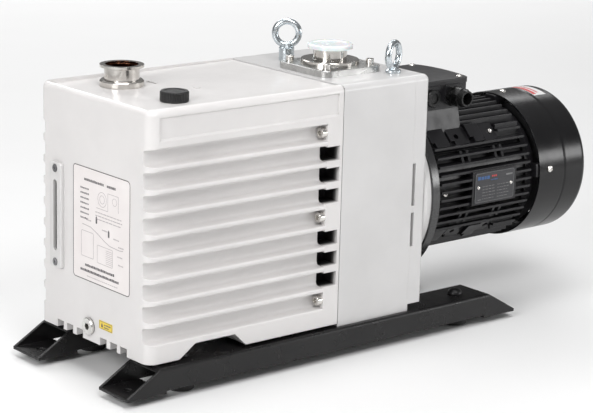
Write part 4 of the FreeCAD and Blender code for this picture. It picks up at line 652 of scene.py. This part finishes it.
def make_plate_print():
    """Outline, headings, table, oil-flow sketch and level chart on the operating-data plate.

    Positions run in millimetres right and down from the plate's top left corner.
    """
    low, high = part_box("front_labels")
    place = (low.x, high.y, high.z)
    right = (0, -1, 0)
    up = (0, 0, 1)
    outline = Sheet(place, right, up)
    outline.frame(0.6, -141.4, 119.4, -0.6, 4.6, 1.1)
    outline.finish("plate_outline", "grey_ink")

    heading = Sheet(place, right, up)
    heading.words(24, -17, 66, 3.4, 0.6, 1.6, 2.6)
    heading.words(72, -17, 92, 3.4, 0.6, 1.6, 2.6)
    for row in range(7):
        heading.words(16, -28 - 6.2 * row, 34, 2.2, 0.8, 1.2, 2.4)
    heading.words(26, -124, 88, 3.4, 0.6, 1.8, 3.2)
    heading.words(16, -131, 98, 3.4, 0.6, 1.8, 3.2)
    for u, v in ((50, -66), (76, -78)):
        heading.polygon([(u - 1.6, v), (u + 1.6, v), (u + 1.6, v + 7), (u, v + 9.5), (u - 1.6, v + 7)])
    heading.finish("plate_headings", "grey_ink")

    sketch = Sheet(place, right, up)
    sketch.ring(62, -34, 9.0, 0.6)
    sketch.ring(62, -34, 5.0, 0.6)
    sketch.ring(88, -32, 4.5, 0.5)
    sketch.stroke([(50, -46), (74, -46), (74, -24), (96, -24), (96, -44)], 0.6)
    for row in range(3):
        sketch.words(48, -52 - 4.2 * row, 104, 1.2, 1.0, 3.0, 9.0)
    sketch.stroke([(20, -72), (38, -73), (52, -78), (66, -84), (78, -88), (98, -89), (106, -88)], 0.9)
    sketch.frame(18, -112, 44, -80, 2.0, 0.6)
    sketch.frame(52, -114, 84, -92, 1.0, 0.6)
    for row in range(8):
        sketch.bar(70, -95.5 - 2.3 * row, 84, -95.0 - 2.3 * row)
    for u, v in ((28, -66), (62, -72), (86, -78), (96, -86), (94, -98), (96, -108)):
        sketch.words(u, v, u + 12, 1.6, 0.6, 1.2, 2.4)
    sketch.words(30, -136.5, 96, 1.1, 1.0, 2.0, 5.0)
    sketch.finish("plate_sketch", "faint_ink")


def make_marker_print():
    """A drop and a few strokes on the yellow drain marker."""
    low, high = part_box("front_labels")
    sheet = Sheet((low.x + 0.1 * MM, high.y - 56 * MM, low.z), (0, -1, 0), (0, 0, 1))
    sheet.frame(0.8, 0.8, 27.2, 9.7, 0.8, 0.5)
    sheet.polygon([(5, 2.4), (7.6, 2.4), (8.2, 4.2), (6.3, 8.2), (4.4, 4.2)])
    sheet.words(11, 5.6, 25, 1.8, 0.6, 1.4, 2.6)
    sheet.words(11, 2.4, 22, 1.8, 0.6, 1.4, 2.6)
    sheet.finish("marker_print", "grey_ink")


def make_nameplate_details():
    """Rivets and generic print on the motor's nameplate."""
    low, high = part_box("motor_nameplate")
    face = low.y
    rivet = [(2.6, 0.0), (2.5, 0.7), (1.9, 1.3), (1.0, 1.6), (0.0, 1.7)]
    middle = (low.z + high.z) / 2 + 0.7 * MM
    for name, x in (("nameplate_rivet_front", low.x + 6.4 * MM), ("nameplate_rivet_rear", high.x - 6.2 * MM)):
        turned_piece(name, rivet, (x, face, middle), (0, -1, 0), "nickel_screw")
    corner = (low.x, face, low.z)
    right = (1, 0, 0)
    up = (0, 0, 1)
    pale = Sheet(corner, right, up, 0.05)
    pale.frame(1.2, 1.2, 72.8, 40.8, 2.5, 0.4)
    pale.bar(58, 33, 70, 35.2)
    for row in range(5):
        pale.words(14, 5 + 4.2 * row, 38, 0.8, 1.4, 2.0, 6.0)
        pale.words(42, 5 + 4.2 * row, 64, 0.8, 1.4, 2.0, 6.0)
    pale.words(6, 4, 12, 1.4)
    pale.finish("nameplate_print", "dim_ink")
    blue = Sheet(corner, right, up, 0.05)
    blue.words(5, 32, 28, 5.0, 1.0, 3.0, 6.0)
    blue.words(30, 29.5, 42, 1.6)
    blue.finish("nameplate_blue", "blue_ink")
    red = Sheet(corner, right, up, 0.05)
    red.words(31, 34, 40, 2.6)
    red.finish("nameplate_red", "red_ink")


def curved_patch(name, x0, x1, angle0, angle1, radius, material, steps=12):
    """A thin printed patch that follows the fan cowl; angles in degrees up from the near side."""
    low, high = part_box("fan_cowl")
    centre_z = (low.z + high.z) / 2
    bm = bmesh.new()
    rows = []
    for i in range(steps + 1):
        angle = math.radians(angle0 + (angle1 - angle0) * i / steps)
        y = -radius * math.cos(angle)
        z = centre_z + radius * math.sin(angle)
        rows.append([bm.verts.new((x, y, z)) for x in (x0, x1)])
    for a, b in zip(rows, rows[1:]):
        bm.faces.new((a[0], a[1], b[1], b[0]))
    return new_piece(name, bm, material)


def make_cowl_sticker():
    """White sticker with red bars on top of the fan cowl."""
    low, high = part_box("fan_cowl")
    radius = (high.y - low.y) / 2
    front = high.x - 41 * MM
    paper = radius + 0.10 * MM
    bars = radius + 0.16 * MM
    curved_patch("cowl_sticker", front, front + 23 * MM, 72, 100, paper, "white_ink")
    curved_patch("cowl_sticker_red_a", front + MM, front + 7.5 * MM, 74, 99, bars, "red_ink")
    curved_patch("cowl_sticker_red_b", front + 11 * MM, front + 14 * MM, 76, 96, bars, "red_ink")


def make_lid_label():
    """Narrow yellow label across the front of the terminal box lid."""
    low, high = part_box("terminal_box_lid")
    sheet = Sheet((low.x + 0.006, -0.0460, high.z), (1, 0, 0), (0, 1, 0), 0.08)
    sheet.bar(0, 0, 9, 34)
    sheet.finish("lid_label", "yellow_ink")


PAD_TOP = 92.5 * MM
PAN_HEAD = [(0.0, 1.4), (1.6, 1.5), (1.9, 2.9), (3.2, 2.6), (4.0, 1.7), (4.3, 0.4), (4.3, -1.0)]


def make_motor_small_screws():
    """Earth screw low on the frame's front end, and a plug screw in the upper near pad's hole."""
    low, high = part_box("fan_cowl")
    shaft_z = (low.z + high.z) / 2
    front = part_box("motor_frame")[0].x
    turned_piece("earth_screw", PAN_HEAD, (front + 15.2 * MM, -92.5 * MM, shaft_z - 2 * MM), (0, -1, 0),
                 "nickel_screw")
    slope = math.radians(45)
    out = Vector((0, -math.cos(slope), math.sin(slope)))
    place = Vector((front + 120 * MM, 0, shaft_z)) + out * PAD_TOP
    turned_piece("pad_screw", [(r * 0.8, h) for r, h in PAN_HEAD], place, out, "nickel_screw")


PANEL_SINK = 3.6 * MM


def make_top_marks():
    """Faint raised casting marks on the casing's sunk top panel: an arrow and a drop."""
    low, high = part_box("oil_casing")
    level = high.z - PANEL_SINK
    arrow = Sheet((low.x + 113 * MM, 34 * MM, level), (1, 0, 0), (0, 1, 0), 0.9)
    arrow.polygon([(3, 0), (6, 0), (6, 14), (3, 14)])
    arrow.polygon([(0, 14), (9, 14), (4.5, 21)])
    arrow.finish("exhaust_arrow", "casing_paint")
    drop = Sheet((low.x + 139 * MM, -20 * MM, level), (1, 0, 0), (0, 1, 0), 1.0)
    drop.polygon([(4, 0), (7, 1.2), (8, 4), (7, 7), (4, 13), (1, 7), (0, 4), (1, 1.2)])
    drop.finish("filler_drop", "casing_paint")


make_plate_print()
make_marker_print()
make_nameplate_details()
make_cowl_sticker()
make_lid_label()
make_motor_small_screws()
make_top_marks()


# ---------------------------------------------------------------- studio
FLOOR_HALF = 14.0
SKY_OVERHEAD = 0.42
SKY_AT_WALL = 0.14
SKY_CURVE = 1.0
SOFTBOXES = (  # name, place, target, size, power in watts
    ("key_softbox", (-2.20, -0.60, 1.30), (-0.1, 0.0, 0.2), (0.9, 0.9), 30.0),
    ("motor_softbox", (1.72, -1.60, 0.50), (0.20, 0.0, 0.2), (1.1, 0.42), 12.0),
    ("front_softbox", (-0.60, -1.90, 2.10), (-0.1, 0.0, 0.2), (1.0, 0.8), 26.0),
    ("top_softbox", (-0.30, -0.20, 2.6), (-0.05, 0.0, 0.2), (1.3, 1.3), 25.0),
    ("back_softbox", (0.3, 2.2, 2.2), (0.0, 0.1, 0.3), (1.8, 0.7), 10.0),
    ("floor_wash", (3.0, 5.5, 4.5), (4.0, 7.0, 0.0), (7.0, 5.0), 520.0),
)


def make_floor():
    """A plain pale floor, wide enough to fill the view."""
    mesh = bpy.data.meshes.new("floor")
    corners = [(-FLOOR_HALF, -FLOOR_HALF, 0), (FLOOR_HALF, -FLOOR_HALF, 0),
               (FLOOR_HALF, FLOOR_HALF, 0), (-FLOOR_HALF, FLOOR_HALF, 0)]
    mesh.from_pydata(corners, [], [(0, 1, 2, 3)])
    floor = bpy.data.objects.new("floor", mesh)
    bpy.context.collection.objects.link(floor)
    paint = Paint("floor_paint", roughness=0.6)
    paint.color(paint.ramp(paint.noise(3.0, 4.0), (0.78, 0.78, 0.78), (0.81, 0.81, 0.81)))
    paint.bump(paint.noise(200.0), 0.0001)
    mesh.materials.append(paint.material)


def make_light(name, place, target, size, power):
    """A white softbox at a place, turned to face its target."""
    data = bpy.data.lights.new(name, "AREA")
    data.shape = "RECTANGLE"
    data.size = size[0]
    data.size_y = size[1]
    data.energy = power
    light = bpy.data.objects.new(name, data)
    bpy.context.collection.objects.link(light)
    light.location = place
    light.rotation_euler = (Vector(target) - Vector(place)).to_track_quat("-Z", "Y").to_euler()


def make_sky():
    """A white tent: bright overhead, dimmer towards the walls."""
    world = bpy.data.worlds.new("studio")
    bpy.context.scene.world = world
    world.use_nodes = True
    nodes = world.node_tree.nodes
    links = world.node_tree.links
    split = nodes.new("ShaderNodeSeparateXYZ")
    links.new(nodes.new("ShaderNodeTexCoord").outputs["Generated"], split.inputs["Vector"])
    climb = nodes.new("ShaderNodeMapRange")
    climb.inputs["To Min"].default_value = SKY_AT_WALL
    climb.inputs["To Max"].default_value = SKY_OVERHEAD
    curve = nodes.new("ShaderNodeMath")
    curve.operation = "POWER"
    curve.use_clamp = True
    links.new(split.outputs["Z"], curve.inputs[0])
    curve.inputs[1].default_value = SKY_CURVE
    links.new(curve.outputs["Value"], climb.inputs["Value"])
    nodes["Background"].inputs["Color"].default_value = (1.0, 1.0, 1.0, 1.0)
    links.new(climb.outputs["Result"], nodes["Background"].inputs["Strength"])


def make_studio():
    make_sky()
    for softbox in SOFTBOXES:
        make_light(*softbox)
    bpy.context.scene.view_settings.view_transform = "Standard"


make_floor()
make_studio()
